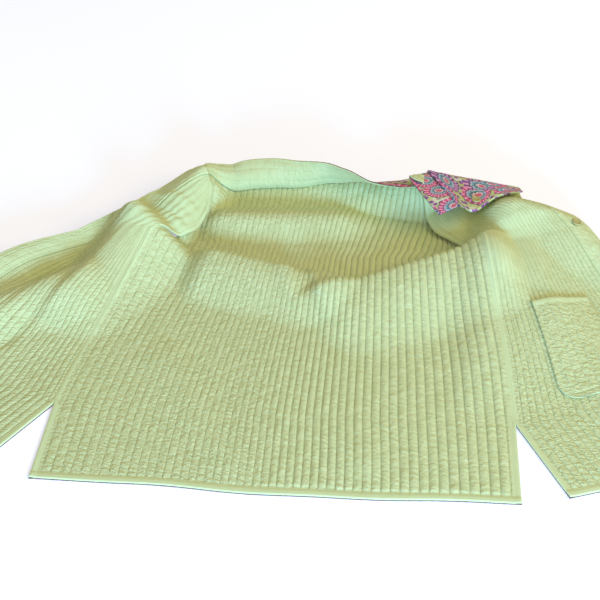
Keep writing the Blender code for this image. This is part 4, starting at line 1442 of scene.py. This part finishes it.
def make_buttons(over, tables, horn, threads):
    """Three buttons down the left band, numbered from 2, and one on the turned corner."""
    rows, runs = tables
    share = np.array([0.5])
    for number, row in enumerate(BUTTON_ROWS, 2):
        run = np.interp(np.array([row]), rows, runs)
        onward = over(share, run + 0.003) - over(share, run - 0.003)
        aside = over(share + 0.1, run) - over(share - 0.1, run)
        normal = turned_up(np.cross(aside, onward))[0]
        make_button(f"button_{number}", over(share, run)[0], normal, horn, threads)
    x, y = CORNER_BUTTON
    make_button("button_1", (x, y, CORNER_SECTIONS[1].edge_z), np.array([0.0, 0.0, 1.0]), horn, threads)


def make_buttonholes(over, tables, threads):
    """Worked buttonholes across the right band: close stitches set round a slit."""
    rows, runs = tables
    turn = np.linspace(0, 2 * np.pi, BUTTONHOLE_STITCHES, endpoint=False)

    def rim(row, reach):
        """Points round one slit, that far out from it."""
        across = np.clip(np.cos(turn) * 1.25, -1, 1) * BUTTONHOLE_LONG + np.cos(turn) * reach
        along = np.sin(turn) * (BUTTONHOLE_WIDE + reach)
        return over(0.5 + across / BAND_WIDTH, np.interp(row, rows, runs) + along)

    reaches = (0.0, BUTTONHOLE_STITCH)
    ends = [np.concatenate([rim(row, reach) for row in BUTTONHOLE_ROWS]) for reach in reaches]
    up = np.repeat(np.array([[0.0, 0.0, 1.0]]), len(ends[0]), 0)
    piece = stitches("buttonholes", ends, up, threads)


def set_looking(thing, place_at, ahead):
    """Puts a lamp or a camera at a place, looking ahead, with its own upper side up."""
    ahead = unit(np.asarray(ahead, float))
    side = unit(np.cross(ahead, (0.0, 0.0, 1.0)))
    turn = np.column_stack([side, np.cross(side, ahead), -ahead])
    thing.matrix_world = Matrix.Translation(place_at) @ Matrix(turn.tolist()).to_4x4()


def add_lamp(lamp):
    """A round soft lamp aimed at the part's origin."""
    light = bpy.data.lights.new(lamp.name, "AREA")
    light.shape = "DISK"
    light.size = lamp.size
    light.energy = lamp.power
    light.color = lamp.tint
    thing = bpy.data.objects.new(lamp.name, light)
    bpy.context.scene.collection.objects.link(thing)
    set_looking(thing, lamp.place, -np.array(lamp.place))


def make_studio():
    """A pale floor just under the cloth, an even surround and the lamps."""
    reach, level = FLOOR_REACH, FLOOR_LEVEL
    corners = [(-reach, -reach, level), (reach, -reach, level), (reach, reach, level), (-reach, reach, level)]
    floor_mesh = bpy.data.meshes.new("floor")
    floor_mesh.from_pydata(corners, [], [(0, 1, 2, 3)])
    paper = Nodes("pale floor").finish(
        FLOOR_COLOUR, Roughness=0.95, Emission_Color=FLOOR_GLOW, Emission_Strength=FLOOR_GLOW_STRENGTH
    )
    floor_mesh.materials.append(paper)
    floor = bpy.data.objects.new("floor", floor_mesh)
    bpy.context.scene.collection.objects.link(floor)
    world = bpy.data.worlds.new("studio")
    world.use_nodes = True
    background = world.node_tree.nodes["Background"]
    background.inputs["Color"].default_value = SURROUND_COLOUR
    background.inputs["Strength"].default_value = 1.0
    bpy.context.scene.world = world
    for lamp in LAMPS:
        add_lamp(lamp)
    bpy.context.scene.view_settings.view_transform = "Standard"


def make_camera():
    """The photo's camera: low over the hem, looking down at the back."""
    camera = bpy.data.cameras.new("camera")
    camera.lens = CAMERA_LENS
    camera.sensor_width = CAMERA_SENSOR
    camera.clip_end = 30
    view = bpy.data.objects.new("camera", camera)
    bpy.context.scene.collection.objects.link(view)
    pitch, yaw = np.radians(CAMERA_PITCH), np.radians(CAMERA_YAW)
    ahead = (np.sin(yaw) * np.cos(pitch), np.cos(yaw) * np.cos(pitch), -np.sin(pitch))
    set_looking(view, CAMERA_PLACE, ahead)
    bpy.context.scene.camera = view


def main():
    """Makes the materials, every piece, the studio and the camera."""
    cloths = [plain_cotton(), printed_cotton(), shaded_print_edge()]
    threads = sewing_thread()
    horn = turned_horn()
    make_back(cloths, threads)
    left_band = make_front("left", 11, cloths, threads)
    right_band = make_front("right", 21, cloths, threads)
    make_pocket(cloths, threads)
    make_collar(cloths, threads)
    make_turned_corner(cloths, threads)
    make_sleeve("left", cloths)
    make_sleeve("right", cloths)
    make_buttons(*left_band, horn, threads)
    make_buttonholes(*right_band, threads)
    make_studio()
    make_camera()


main()
